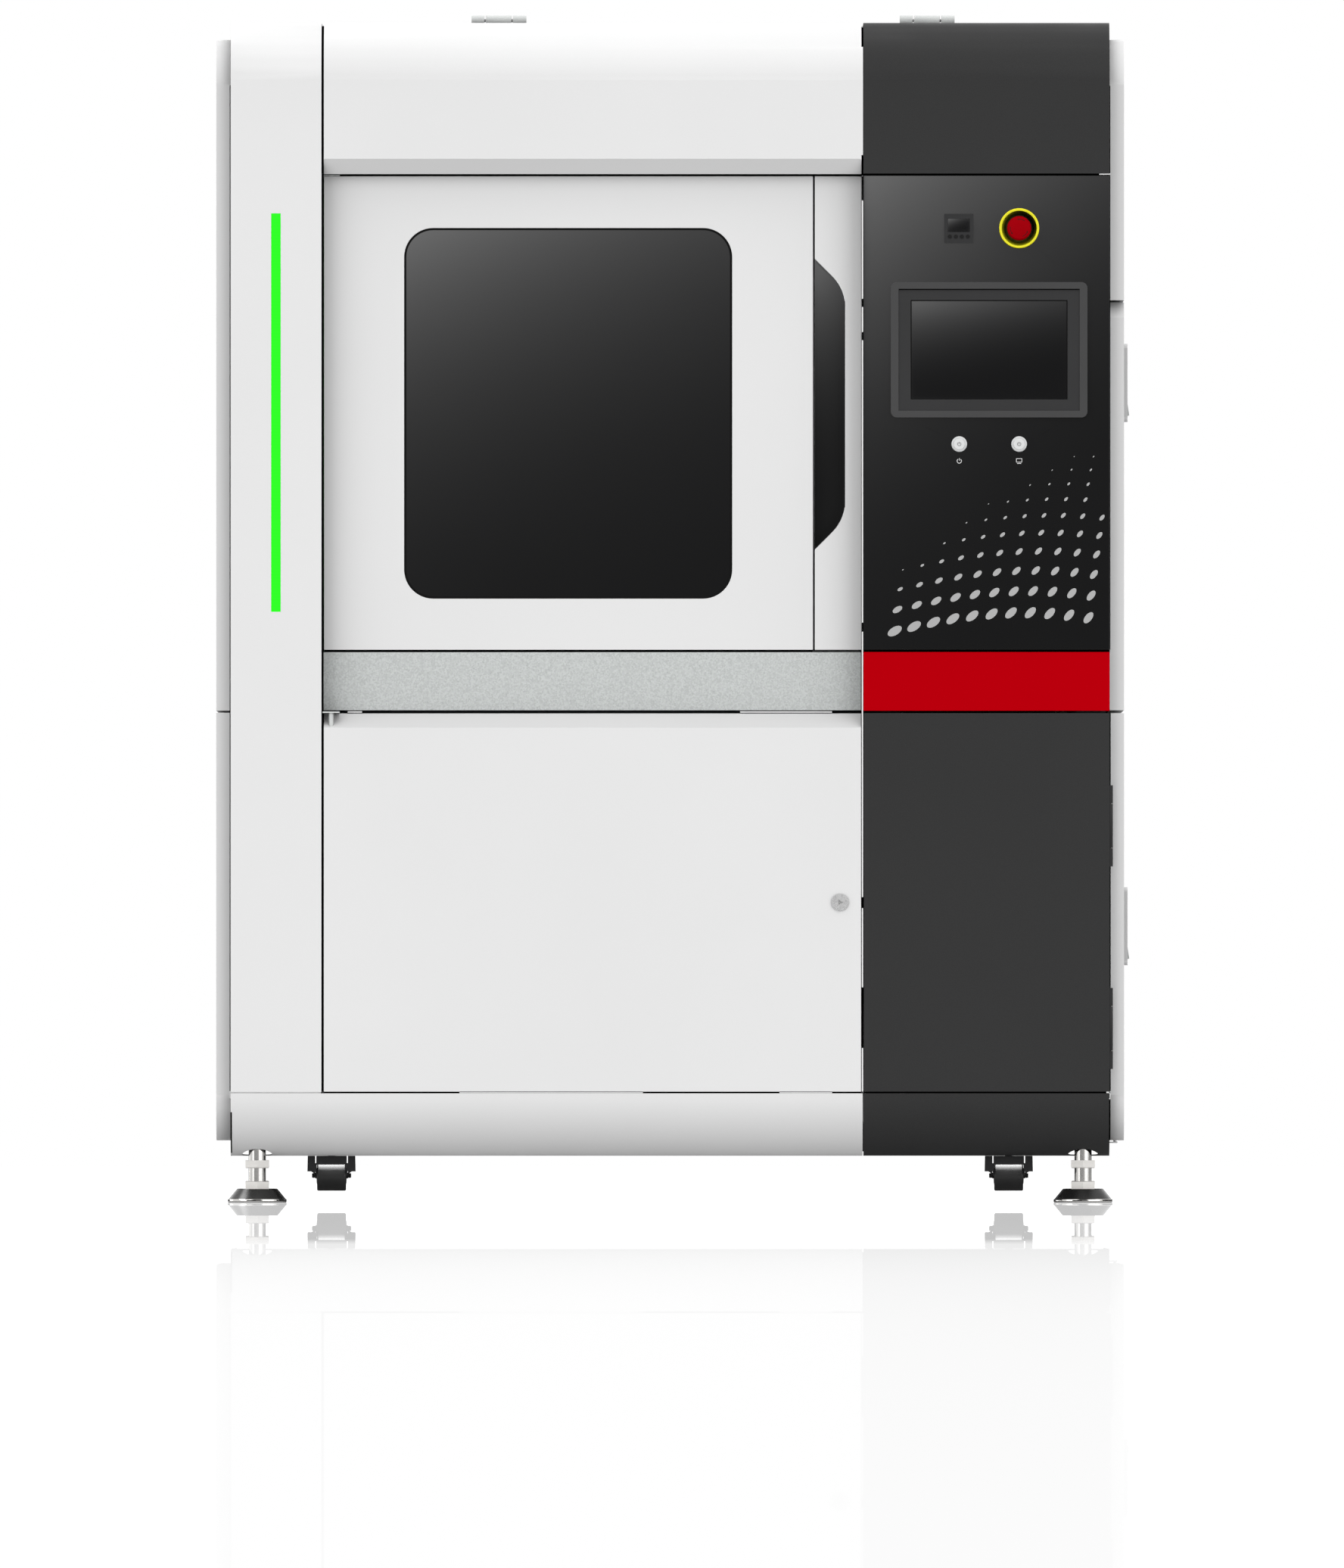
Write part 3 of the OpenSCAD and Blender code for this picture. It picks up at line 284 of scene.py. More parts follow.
def metal(name, color, rough, brush=(1.0, 1.0, 40.0), scale=60.0, relief=0.03, var=0.05, metallic=1.0, spec=0.5):
    """Metal with a brushed or ground grain along one direction."""
    k = Nodes(name)
    vec = k.mapping(brush)
    streak = k.noise(scale, 4.0, 0.6, vec)
    col = k.ramp(streak, [(0.3, scaled(color, 1 - var)), (0.7, scaled(color, 1 + var))])
    k.set(Base_Color=col, Roughness=k.span(streak, rough - 0.05, rough + 0.07))
    k.bsdf.inputs["Metallic"].default_value = metallic
    k.bsdf.inputs["Specular IOR Level"].default_value = spec
    k.set(Normal=k.bump(streak, relief, 0.0002))
    MATS[name] = k.mat
    return k.mat


def gloss_black(name, color, rough=0.035, peel=0.0):
    """Polished black sheet: almost a mirror, with faint wipe marks in its roughness."""
    k = Nodes(name)
    col = k.ramp(k.noise(3.0, 3.0), [(0.3, scaled(color, 0.94)), (0.7, scaled(color, 1.06))])
    wipes = k.noise(5.0, 5.0, 0.6, k.mapping((1.0, 1.0, 3.0)))
    k.set(Base_Color=col, Roughness=k.span(wipes, rough, rough + 0.012, 0.45, 0.75))
    k.bsdf.inputs["Specular IOR Level"].default_value = 0.5
    k.bsdf.inputs["IOR"].default_value = 1.5
    MATS[name] = k.mat
    return k.mat


WHITE = (0.845, 0.845, 0.845)
white = coat_paint("white_powder", WHITE, 0.42, spec=0.3)
white_in = coat_paint("inner_light_grey", (0.60, 0.61, 0.62), 0.5, spec=0.3, var=0.03)
dark = coat_paint("dark_powder", (0.0398, 0.0398, 0.0401), 0.55, spec=0.10, var=0.03, peel=0.12, grain=0.10)
red = coat_paint("red_powder", (0.515, 0.0, 0.0042), 0.6, spec=0.0, var=0.02, peel=0.05, grain=0.03)
frame_paint = coat_paint("frame_powder", (0.075, 0.08, 0.088), 0.5, spec=0.4, var=0.08, peel=0.2, grain=0.15)
panel_black = gloss_black("panel_black", (0.0075, 0.0075, 0.0078))
window_black = gloss_black("window_tint", (0.0070, 0.0070, 0.0073), 0.02)
plate_black = gloss_black("plate_black", (0.0125, 0.0125, 0.0127))
screen_black = gloss_black("screen_black", (0.0062, 0.0062, 0.0066), 0.03)
bezel_grey = plastic("bezel_grey", (0.058, 0.058, 0.059), 0.5, spec=0.3)
bezel_dark = plastic("bezel_inner", (0.030, 0.030, 0.031), 0.5, spec=0.3)
ctrl_black = plastic("controller_case", (0.029, 0.029, 0.030), 0.5, spec=0.25)
key_rubber = plastic("key_rubber", (0.010, 0.010, 0.010), 0.6, spec=0.2)
black_plastic = plastic("black_plastic", (0.016, 0.016, 0.017), 0.45, spec=0.4)
# flat black with no sheen, put in seams and steps as painted shade
painted_shade_black = plastic("painted_shade_black", (0.0012, 0.0012, 0.0012), 0.9, spec=0.0, scale=900.0)
rubber = plastic("seal_rubber", (0.004, 0.004, 0.004), 0.8, spec=0.15, scale=900.0)
yellow = plastic("yellow_rim", (0.95, 0.88, 0.02), 0.35, spec=0.3)
red_plastic = plastic("red_head", (0.36, 0.0, 0.0035), 0.5, spec=0.02, grain=0.02)
red_mark = plastic("red_mark", (0.09, 0.002, 0.004), 0.6, spec=0.1)
print_grey = plastic("print_grey", srgb(182), 0.6, spec=0.1, grain=0.02)
print_white = plastic("print_white", srgb(236), 0.6, spec=0.1, grain=0.02)
icon_dark = plastic("icon_dark", (0.06, 0.06, 0.06), 0.5, spec=0.3)
silver = metal("button_silver", (0.84, 0.85, 0.85), 0.46, (1, 1, 1), 900.0, 0.02, 0.03, metallic=0.35)
chrome = metal("plated_steel", (0.88, 0.865, 0.84), 0.055, (1, 1, 30), 40.0, 0.004, 0.03)
nut_steel = metal("nut_steel", (0.86, 0.84, 0.81), 0.42, (1, 1, 8), 60.0, 0.02, 0.03, metallic=0.45)
lock_steel = metal("lock_steel", (0.86, 0.86, 0.86), 0.28, (1, 1, 1), 300.0, 0.01, 0.03, metallic=0.7)
screw_steel = metal("screw_steel", (0.62, 0.62, 0.62), 0.35, (1, 1, 1), 400.0, 0.02, 0.06)
black_oxide = metal("black_oxide", (0.03, 0.03, 0.031), 0.42, (1, 1, 1), 300.0, 0.03, 0.1, metallic=0.6)
hinge_grey = coat_paint("hinge_grey", (0.76, 0.78, 0.77), 0.5, spec=0.3, var=0.05, grain=0.10)
lever_grey = coat_paint("lever_grey", (0.66, 0.69, 0.68), 0.4, spec=0.4, var=0.02)
stainless = metal("stainless", (0.60, 0.61, 0.62), 0.30, (3, 30, 3), 60.0, 0.04, 0.06)
machined = metal("machined_casting", (0.42, 0.43, 0.45), 0.42, (1, 1, 12), 80.0, 0.05, 0.08)
ground = metal("ground_steel", (0.66, 0.67, 0.68), 0.2, (1, 1, 20), 90.0, 0.02, 0.05)
anodised = metal("anodised_black", (0.035, 0.037, 0.040), 0.40, (1, 1, 1), 700.0, 0.04, 0.08, metallic=0.5)
anodised_grey = metal("anodised_grey", (0.36, 0.38, 0.40), 0.36, (12, 1, 1), 60.0, 0.04, 0.07)
perforated = metal("platform_steel", (0.58, 0.59, 0.60), 0.33, (20, 1, 1), 60.0, 0.05, 0.07)
zinc = metal("zinc_plate", (0.68, 0.64, 0.52), 0.40, (1, 1, 6), 30.0, 0.03, 0.09)
housing = plastic("device_grey", (0.13, 0.135, 0.14), 0.5, spec=0.35)
housing_light = plastic("device_light", (0.42, 0.43, 0.43), 0.5, spec=0.35)
duct_grey = plastic("duct_grey", (0.30, 0.31, 0.32), 0.6, spec=0.3)
copper = metal("brass_contact", (0.75, 0.52, 0.22), 0.3, (1, 1, 1), 300.0, 0.02, 0.05)
board = plastic("board_green", (0.015, 0.10, 0.045), 0.4, spec=0.4)
lens = gloss_black("lens_glass", (0.004, 0.006, 0.012), 0.02)


def make_stone():
    """Fine-grained artificial granite: three sizes of crystals in slightly warm and cool greys."""
    k = Nodes("stone_fine")
    base = (0.600, 0.622, 0.612)
    c1 = k.ramp(k.voronoi(420.0, out="Color"), [(0.2, scaled(base, 0.90)), (0.8, scaled(base, 1.08))])
    tint = k.ramp(k.noise(760.0, 3.0), [(0.32, (0.97, 1.0, 0.955, 1)), (0.5, (1, 1, 1, 1)), (0.68, (1.0, 0.975, 1.03, 1))])
    c2 = k.mix(1.0, c1, tint, "MULTIPLY")
    flecks = k.ramp(k.noise(260.0, 2.0), [(0.30, (0.86, 0.87, 0.87)), (0.42, (1, 1, 1)), (0.66, (1, 1, 1)), (0.76, (1.06, 1.06, 1.05))])
    c3 = k.mix(1.0, c2, flecks, "MULTIPLY")
    k.set(Base_Color=c3, Roughness=k.span(k.noise(300.0), 0.42, 0.6))
    k.bsdf.inputs["Specular IOR Level"].default_value = 0.3
    k.set(Normal=k.bump(k.noise(420.0, 3.0), 0.10, 0.0002))
    MATS["stone_fine"] = k.mat
    return k.mat


stone = make_stone()


def make_shaded_funnel():
    """Guard ring: bright rim; the funnel's olive is painted shade on the yellow, darker towards its bottom and at its
    upper right.
    """
    k = Nodes("yellow_funnel_painted_shade")
    sep = k.n("ShaderNodeSeparateXYZ")
    k.link(k.tc.outputs["Object"], sep.inputs[0])
    y0 = P(0, FY - 22.5, 0).y
    y1 = P(0, FY - 4, 0).y
    # painted shade: darker the deeper into the funnel
    depth = k.span(sep.outputs["Y"], 0.0, 1.0, y0, y1)
    col = k.ramp(depth, [(0.0, (0.30, 0.295, 0.006)), (0.35, (0.22, 0.215, 0.005)), (1.0, (0.12, 0.12, 0.004))])
    # painted shade: darker at the upper right of the funnel
    dxz = k.math("ADD", sep.outputs["X"], sep.outputs["Z"])
    side = k.span(dxz, 1.0, 0.10, P(576.5, 0, 0).x + 1.6088 - 0.020, P(576.5, 0, 0).x + 1.6088 + 0.030)
    col = k.mix(1.0, col, side, "MULTIPLY")
    k.set(Base_Color=col, Roughness=k.span(k.noise(60.0), 0.45, 0.55))
    k.bsdf.inputs["Specular IOR Level"].default_value = 0.15
    k.set(Normal=k.bump(k.voronoi(1200.0), 0.03, 0.0001))
    MATS["yellow_funnel_painted_shade"] = k.mat
    return k.mat


shaded_funnel_mat = make_shaded_funnel()


def make_led():
    """Lit diffuser: even emission with a very slight drop between the light points."""
    k = Nodes("green_light")
    vec = k.mapping((0.0, 0.0, 1.0))
    w = k.n("ShaderNodeTexWave", wave_type="BANDS", bands_direction="Z")
    w.inputs["Scale"].default_value = 60.0
    k.link(vec, w.inputs["Vector"])
    col = k.ramp(w.outputs["Fac"], [(0.0, (0.024, 0.97, 0.015)), (1.0, (0.027, 1.0, 0.018))])
    k.set(Base_Color=(0.001, 0.05, 0.001, 1.0), Roughness=k.span(k.noise(200.0), 0.45, 0.55))
    k.set(Emission_Color=col, Emission_Strength=1.0)
    k.bsdf.inputs["Specular IOR Level"].default_value = 0.1
    MATS["green_light"] = k.mat
    return k.mat


green = make_led()


def make_tread():
    """Castor tyre: black with a fine turned grain round the axle and a soft sheen."""
    k = Nodes("tyre_black")
    col = k.ramp(k.noise(30.0, 4.0), [(0.3, (0.012, 0.012, 0.012)), (0.7, (0.017, 0.017, 0.017))])
    k.set(Base_Color=col, Roughness=k.span(k.noise(1.0, 3.0, 0.5, k.mapping((900.0, 30.0, 30.0))), 0.32, 0.42))
    k.bsdf.inputs["Specular IOR Level"].default_value = 0.7
    k.set(Normal=k.bump(k.noise(1.0, 2.0, 0.5, k.mapping((1500.0, 60.0, 60.0))), 0.05, 0.0002))
    MATS["tyre_black"] = k.mat
    return k.mat


tread = make_tread()


def make_pad():
    """Foot pad: black lacquer with soft sheen."""
    k = Nodes("pad_black")
    col = k.ramp(k.noise(25.0, 3.0), [(0.3, (0.010, 0.010, 0.010)), (0.7, (0.016, 0.015, 0.014))])
    k.set(Base_Color=col, Roughness=k.span(k.noise(50.0), 0.24, 0.32))
    k.bsdf.inputs["Metallic"].default_value = 0.0
    k.bsdf.inputs["Specular IOR Level"].default_value = 0.45
    k.set(Normal=k.bump(k.noise(500.0, 2.0), 0.04, 0.0002))
    MATS["pad_black"] = k.mat
    return k.mat


pad = make_pad()

# ------------------------------------------------------------------ finish of the CAD nodes
BASE = {
    "frame": frame_paint, "inner_panels": white_in, "granite_base": stone, "left_column_cover": white,
    "status_light": green, "skirt_white": white, "skirt_dark": dark, "jamb_trim": white,
    "pull_recess": plate_black, "control_panel": panel_black, "hmi_bezel": bezel_grey, "hmi_screen": screen_black,
    "temp_controller": ctrl_black, "estop_guard": yellow, "button_bezels": silver, "red_band": red,
    "left_side_covers": white, "right_side_covers": white, "rear_covers": white, "top_cover": white,
    "hinge_leaves_fixed": hinge_grey, "resin_vat": stainless, "z_column": machined, "linear_rails": ground,
    "laser_module": anodised, "electrical_plate": zinc, "power_inlet": black_plastic, "hood_white": white,
    "hood_dark": dark, "front_door": white, "window_pane": window_black, "lower_door": white,
    "cam_lock": lock_steel, "dark_door": dark, "side_door_upper": white, "side_door_lower": white,
    "latch_lever_upper": lever_grey, "latch_lever_lower": lever_grey, "estop_button": red_plastic,
    "power_button": silver, "computer_button": silver, "build_platform": perforated, "ball_screw": ground,
    "recoater": anodised_grey,
}
for i in range(1, 5):
    BASE[f"key_{i}"] = key_rubber
    BASE[f"castor_fork_{i}"] = black_oxide
    BASE[f"castor_wheel_{i}"] = tread
    BASE[f"foot_{i}"] = chrome

for name, ob in NODE.items():
    ob.data.materials.clear()
    ob.data.materials.append(BASE[name])


def refinish(node, mat, test):
    """Gives the faces of a node whose middle passes the test another material. Middle is in millimetres of the drawing."""
    me = NODE[node].data
    me.materials.append(mat)
    k = len(me.materials) - 1
    for p in me.polygons:
        c = p.center
        x, y, z = c.x * 1000 - SX, c.y * 1000 - SY, c.z * 1000
        if test(x, y, z, p.normal):
            p.material_index = k


refinish("hmi_bezel", bezel_dark, lambda x, y, z, n: abs(x - 526.9) < 149.6 and abs(z - 1408.2) < 100.7 and y > FY - 4.9)
# the guard's inner funnel takes the yellow with painted shade
refinish("estop_guard", shaded_funnel_mat, lambda x, y, z, n: y > FY - 23.8 and math.hypot(x - 576.5, z - 1608.8) < 33.2)
refinish("estop_guard", black_plastic, lambda x, y, z, n: y > FY - 0.05)
refinish("lower_door", lock_steel, lambda x, y, z, n: math.hypot(x - 280.5, z - 495.7) < 14.2 and y < FY + 0.5 and abs(n.z) + abs(n.x) + (y < FY - 0.2) > 0)
refinish("hinge_leaves_fixed", black_oxide, lambda x, y, z, n: x > 700 and z < 800)
refinish("hood_dark", hinge_grey, lambda x, y, z, n: z > TOP + 0.1)
refinish("dark_door", black_oxide, lambda x, y, z, n: x > 725.9 and y > FY + 1.0)
for i in range(1, 5):
    refinish(f"foot_{i}", pad, lambda x, y, z, n: z < 21.99 or (z < 22.01 and abs(n.z) > 0.9))
    refinish(f"foot_{i}", nut_steel, lambda x, y, z, n: (21.9 < z < 34.1 or 57.4 < z < 69.4)
             and math.hypot(abs(x) - (690.2 if y > 0 else 682.5), abs(y) - 568.5) > 14.6)
refinish("electrical_plate", housing, lambda x, y, z, n: 30 <= y < 119.9 and 392.5 < x < 661)
refinish("electrical_plate", housing_light, lambda x, y, z, n: y < 111.9 and (988 < z < 1076 or 410 < x < 521 and 469 < z < 691))
refinish("electrical_plate", duct_grey, lambda x, y, z, n: 404 < x < 651 and 59 < y < 119.9 and (714 < z < 744 or 954 < z < 984 or 1094 < z < 1124))
refinish("electrical_plate", board, lambda x, y, z, n: 411 < x < 641 and 75 < y < 119.9 and (1129 < z < 1231 or 1259 < z < 1361))
refinish("laser_module", anodised_grey, lambda x, y, z, n: y > 150)
refinish("laser_module", lens, lambda x, y, z, n: z < 1704.0 and math.hypot(x - XC, y) < 56)
refinish("power_inlet", copper, lambda x, y, z, n: RY - 30.1 < y < RY - 9 and 600 < x < 624 and 170 < z < 188)

# small rounded edges on sheet parts, cut from the merged faces
for name in ("hmi_bezel", "temp_controller", "control_panel", "red_band", "lower_door",
             "front_door", "dark_door", "left_column_cover", "top_cover", "left_side_covers", "right_side_covers",
             "side_door_upper", "side_door_lower", "granite_base", "latch_lever_upper", "latch_lever_lower",
             "hood_white", "hood_dark", "jamb_trim", "z_column", "recoater", "resin_vat", "laser_module"):
    ob = NODE[name]
    w = ob.modifiers.new("join", "WELD")
    w.merge_threshold = 0.00003
    b = ob.modifiers.new("edge", "BEVEL")
    b.width = 0.0012 if name == "granite_base" else 0.0005
    b.segments = 2
    b.limit_method = "ANGLE"
    b.angle_limit = math.radians(50)
    b.harden_normals = True
    b.miter_outer = "MITER_ARC"


# ------------------------------------------------------------------ shape helpers
class Kit:
    """Collects closed shapes in drawing millimetres and turns them into one object."""

    def __init__(self):
        self.bm = bmesh.new()

    def add(self, verts, faces):
        vs = [self.bm.verts.new(P(*v)) for v in verts]
        for f in faces:
            try:
                self.bm.faces.new([vs[i] for i in f])
            except ValueError:
                pass
        return vs

    def box(self, a, b, bev=0.0, seg=2):
        x0, y0, z0 = a
        x1, y1, z1 = b
        vs = self.add([(x, y, z) for x in (x0, x1) for y in (y0, y1) for z in (z0, z1)],
                      [(0, 1, 3, 2), (4, 6, 7, 5), (0, 4, 5, 1), (2, 3, 7, 6), (0, 2, 6, 4), (1, 5, 7, 3)])
        if bev:
            es = list({e for v in vs for e in v.link_edges})
            bmesh.ops.bevel(self.bm, geom=es, offset=bev / 1000.0, segments=seg, profile=0.5, affect="EDGES", clamp_overlap=True)

    def lathe(self, pts, c, axis="y", n=48, sign=1):
        """Closed ring section (radius, height) turned round an axis through c."""
        m = len(pts)
        verts = []
        for i in range(n):
            a = 2 * math.pi * i / n
            for r, h in pts:
                u, v, w = r * math.cos(a), r * math.sin(a), h * sign
                if axis == "y":
                    verts.append((c[0] + u, c[1] + w, c[2] + v))
                elif axis == "x":
                    verts.append((c[0] + w, c[1] + u, c[2] + v))
                else:
                    verts.append((c[0] + u, c[1] + v, c[2] + w))
        faces = []
        for i in range(n):
            j = (i + 1) % n
            for k in range(m):
                l = (k + 1) % m
                faces.append((i * m + k, i * m + l, j * m + l, j * m + k))
        vs = [self.bm.verts.new(P(*v)) for v in verts]
        for f in faces:
            q = []
            for i in f:
                if vs[i] not in q:
                    q.append(vs[i])
            try:
                self.bm.faces.new(q)
            except ValueError:
                pass

    def cyl(self, c, d, l, axis="y", n=32, bev=0.0, bore=0.0):
        r = d / 2
        b = bore / 2 if bore else 0.02
        e = bev
        self.lathe([(b, 0), (r - e, 0), (r, e), (r, l - e), (r - e, l), (b, l)] if e else [(b, 0), (r, 0), (r, l), (b, l)], c, axis, n)

    def prism(self, pts, lo, hi, plane="xz"):
        """Closed outline, drawn in a plane and pushed from lo to hi."""
        n = len(pts)

        def q(p, t):
            if plane == "xz":
                return (p[0], t, p[1])
            if plane == "yz":
                return (t, p[0], p[1])
            return (p[0], p[1], t)

        verts = [q(p, lo) for p in pts] + [q(p, hi) for p in pts]
        faces = [tuple(range(n)), tuple(range(2 * n - 1, n - 1, -1))]
        faces += [(i, (i + 1) % n, n + (i + 1) % n, n + i) for i in range(n)]
        self.add(verts, faces)

    def band(self, outer, inner, lo, hi, plane="xz"):
        """Ring between two outlines with the same number of points, pushed from lo to hi."""
        n = len(outer)

        def q(p, t):
            if plane == "xz":
                return (p[0], t, p[1])
            if plane == "yz":
                return (t, p[0], p[1])
            return (p[0], p[1], t)

        verts = [q(p, lo) for p in outer] + [q(p, lo) for p in inner] + [q(p, hi) for p in outer] + [q(p, hi) for p in inner]
        faces = []
        for i in range(n):
            j = (i + 1) % n
            faces += [(i, j, n + j, n + i), (2 * n + i, 3 * n + i, 3 * n + j, 2 * n + j),
                      (i, 2 * n + i, 2 * n + j, j), (n + i, n + j, 3 * n + j, 3 * n + i)]
        self.add(verts, faces)

    def tube(self, pts, d, n=10):
        """Round tube along a line of points."""
        pts = [Vector(p) for p in pts]
        r = d / 2
        rings = []
        up = None
        for i, p in enumerate(pts):
            t = (pts[min(i + 1, len(pts) - 1)] - pts[max(i - 1, 0)]).normalized()
            if up is None:
                up = Vector((0, 0, 1)) if abs(t.z) < 0.9 else Vector((1, 0, 0))
            side = t.cross(up).normalized()
            up = side.cross(t).normalized()
            rings.append([p + side * (r * math.cos(2 * math.pi * k / n)) + up * (r * math.sin(2 * math.pi * k / n)) for k in range(n)])
        verts = [tuple(v) for ring in rings for v in ring]
        faces = []
        for i in range(len(rings) - 1):
            for k in range(n):
                l = (k + 1) % n
                faces.append((i * n + k, i * n + l, (i + 1) * n + l, (i + 1) * n + k))
        faces.append(tuple(range(n - 1, -1, -1)))
        faces.append(tuple(range((len(rings) - 1) * n, len(rings) * n)))
        self.add(verts, faces)

    def done(self, name, mat, body, slot, angle=38.0, sub=0):
        bmesh.ops.recalc_face_normals(self.bm, faces=self.bm.faces[:])
        me = bpy.data.meshes.new(name)
        self.bm.to_mesh(me)
        self.bm.free()
        me.shade_smooth()
        me.set_sharp_from_angle(angle=math.radians(angle))
        mats = mat if isinstance(mat, (list, tuple)) else [mat]
        for m in mats:
            me.materials.append(m)
        ob = bpy.data.objects.new(name, me)
        bpy.context.scene.collection.objects.link(ob)
        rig.ride(ob, body)
        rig.slot(ob, slot)
        return ob


def rr(x0, z0, x1, z1, r, n=10):
    pts = []
    for cx, cz, a0 in ((x1 - r, z1 - r, 0), (x0 + r, z1 - r, 90), (x0 + r, z0 + r, 180), (x1 - r, z0 + r, 270)):
        for i in range(n + 1):
            a = math.radians(a0 + 90.0 * i / n)
            pts.append((cx + r * math.cos(a), cz + r * math.sin(a)))
    return pts


def smooth_line(pts, steps=8):
    """Rounded line through control points (Catmull-Rom)."""
    out = []
    p = [Vector(q) for q in pts]
    p = [p[0] * 2 - p[1]] + p + [p[-1] * 2 - p[-2]]
    for i in range(1, len(p) - 2):
        for s in range(steps):
            t = s / steps
            out.append(0.5 * ((2 * p[i]) + (-p[i - 1] + p[i + 1]) * t + (2 * p[i - 1] - 5 * p[i] + 4 * p[i + 1] - p[i + 2]) * t * t
                              + (-p[i - 1] + 3 * p[i] - 3 * p[i + 1] + p[i + 2]) * t ** 3))
    out.append(p[-2])
    return out


# ------------------------------------------------------------------ window and doors
k = Kit()
wx0, wx1, wz0, wz1 = -439.5, 102.5, 997.5, 1610.0
k.band(rr(wx0 + 0.2, wz0 + 0.2, wx1 - 0.2, wz1 - 0.2, 47.8, 14), rr(wx0 + 3.6, wz0 + 3.6, wx1 - 3.6, wz1 - 3.6, 44.4, 14), PY + 0.05, PY + 0.55)
k.done("window_seal", rubber, "front_door", "dark_plastic")

k = Kit()  # clamp bar that holds the pane, seen with the door open
k.band(rr(wx0 - 1, wz0 - 1, wx1 + 1, wz1 + 1, 49, 14), rr(wx0 + 12, wz0 + 12, wx1 - 12, wz1 - 12, 36, 14), PY + 18.2, PY + 20.2)
for i in range(7):
    x = wx0 + 40 + i * (wx1 - wx0 - 80) / 6
    for z in (wz0 + 5.5, wz1 - 5.5):
        k.cyl((x, PY + 20.2, z), 7, 2.2, "y", 20, 0.6)
for i in range(8):
    z = wz0 + 48 + i * (wz1 - wz0 - 96) / 7
    for x in (wx0 + 5.5, wx1 - 5.5):
        k.cyl((x, PY + 20.2, z), 7, 2.2, "y", 20, 0.6)
k.done("window_clamp", anodised, "front_door", "optics_black")

k = Kit()  # bulb seal round the window door's opening
o = [(-571.5, 914), (236, 914), (236, 1694.8), (-571.5, 1694.8)]
q = [(-561.5, 924), (226, 924), (226, 1684.8), (-561.5, 1684.8)]
k.band(o, q, PY + 28.4, PY + 31.8)
k.done("window_door_seal", rubber, "cabinet", "dark_plastic")

k = Kit()  # inner liner sheet of the lower door
k.box((-540, FY + 24.5, 230), (285, FY + 26.5, 765), 0.6)
for x in (-530, -400, -270, -140, -10, 120, 250):
    for z in (240, 755):
        k.cyl((x, FY + 26.5, z), 8, 2.0, "y", 20, 0.6)
k.done("lower_door_liner", white_in, "lower_door", "liner_paint")

# ------------------------------------------------------------------ seams

def nose_path(inset, z0, y_end, n=16):
    """Front plane, rounded top edge, then the flat top, as (y, z)."""
    r = TOP_R - inset
    pts = [(FY + inset, z0)]
    for i in range(n + 1):
        a = math.radians(180 - 90.0 * i / n)
        pts.append((FY + TOP_R + r * math.cos(a), TOP - TOP_R + r * math.sin(a)))
    pts.append((y_end, TOP - inset))
    return pts


def nose_strip(kit, x0, x1, out, thick, z0, y_end):
    a = nose_path(out, z0, y_end)
    b = nose_path(out + thick, z0, y_end)
    kit.prism(a + b[::-1], x0, x1, "yz")


# black strip in the left seam and over the rounded top: painted shade inside the gap
k = Kit()
nose_strip(k, -575.6, -572.4, 5.0, 8.0, 1699.4, -262.0)
k.box((-575.6, PY - 34, 184.0), (-572.4, PY - 26, 1699.0))
k.done("left_seam_painted_shade", painted_shade_black, "cabinet", "dark_plastic")

# black strips behind the seams above and below the doors: painted shade inside the gaps
k = Kit()
k.box((-571, PY - 0.6 + 6, 1695.9), (315, PY + 30, 1698.7), 0.4)
k.box((-571, PY + 2.0, 909.3), (235, PY + 26, 912.6), 0.4)
k.box((320, FY + 5, 909.4), (724, FY + 40, 912.6), 0.4)
k.box((320, FY + 5, 1696.6), (724, FY + 40, 1698.9), 0.4)
k.done("front_seam_painted_shade", painted_shade_black, "cabinet", "dark_plastic")

k = Kit()  # dark backing of the seams over the skirt and beside the door pins, as painted shade inside the gaps
k.box((-571.5, FY + 2.2, 180.15), (315.5, FY + 14, 182.9))
k.box((320, FY + 2.2, 180.15), (725, FY + 14, 182.9))
# black line of painted shade down both outer edges of the front covers, and round the ends of the skirt
k.box((-727.7, -627.0, 184.0), (-726.05, -600.0, 1846.0))
k.box((726.05, -627.0, 184.0), (727.9, -600.0, 810.0))
k.box((726.4, -627.0, 913.0), (727.3, -600.0, 1845.0))


def skirt_arc(kit, x0, x1, z0, z1, out=0.25, depth=2.0, n=14):
    """Strip that follows the rounded skirt between two heights."""
    o, i = [], []
    for j in range(n + 1):
        z = z0 + (z1 - z0) * j / n
        a = math.asin(min(1.0, (180.0 - z) / 103.0))
        for lst, r in ((o, 103.0 + out), (i, 103.0 - depth)):
            lst.append((FY + 103.0 - r * math.cos(a), 180.0 - r * math.sin(a)))
    kit.prism(o + i[::-1], x0, x1, "yz")


skirt_arc(k, -726.2, -723.9, 77.2, 149.0)
skirt_arc(k, 725.2, 727.4, 103.0, 170.0)
# painted shade: black marks in the seam between the jamb and the dark column
for z0, z1 in ((1655, 1695), (1479.2, 1492.3), (1424.2, 1437.3), (942.7, 957.3), (486.2, 503.8), (255.2, 354.8)):
    k.box((316.6, FY + 0.6, z0), (318.8, FY + 9, z1))
k.done("edge_lines_painted_shade", painted_shade_black, "cabinet", "dark_plastic", 60)

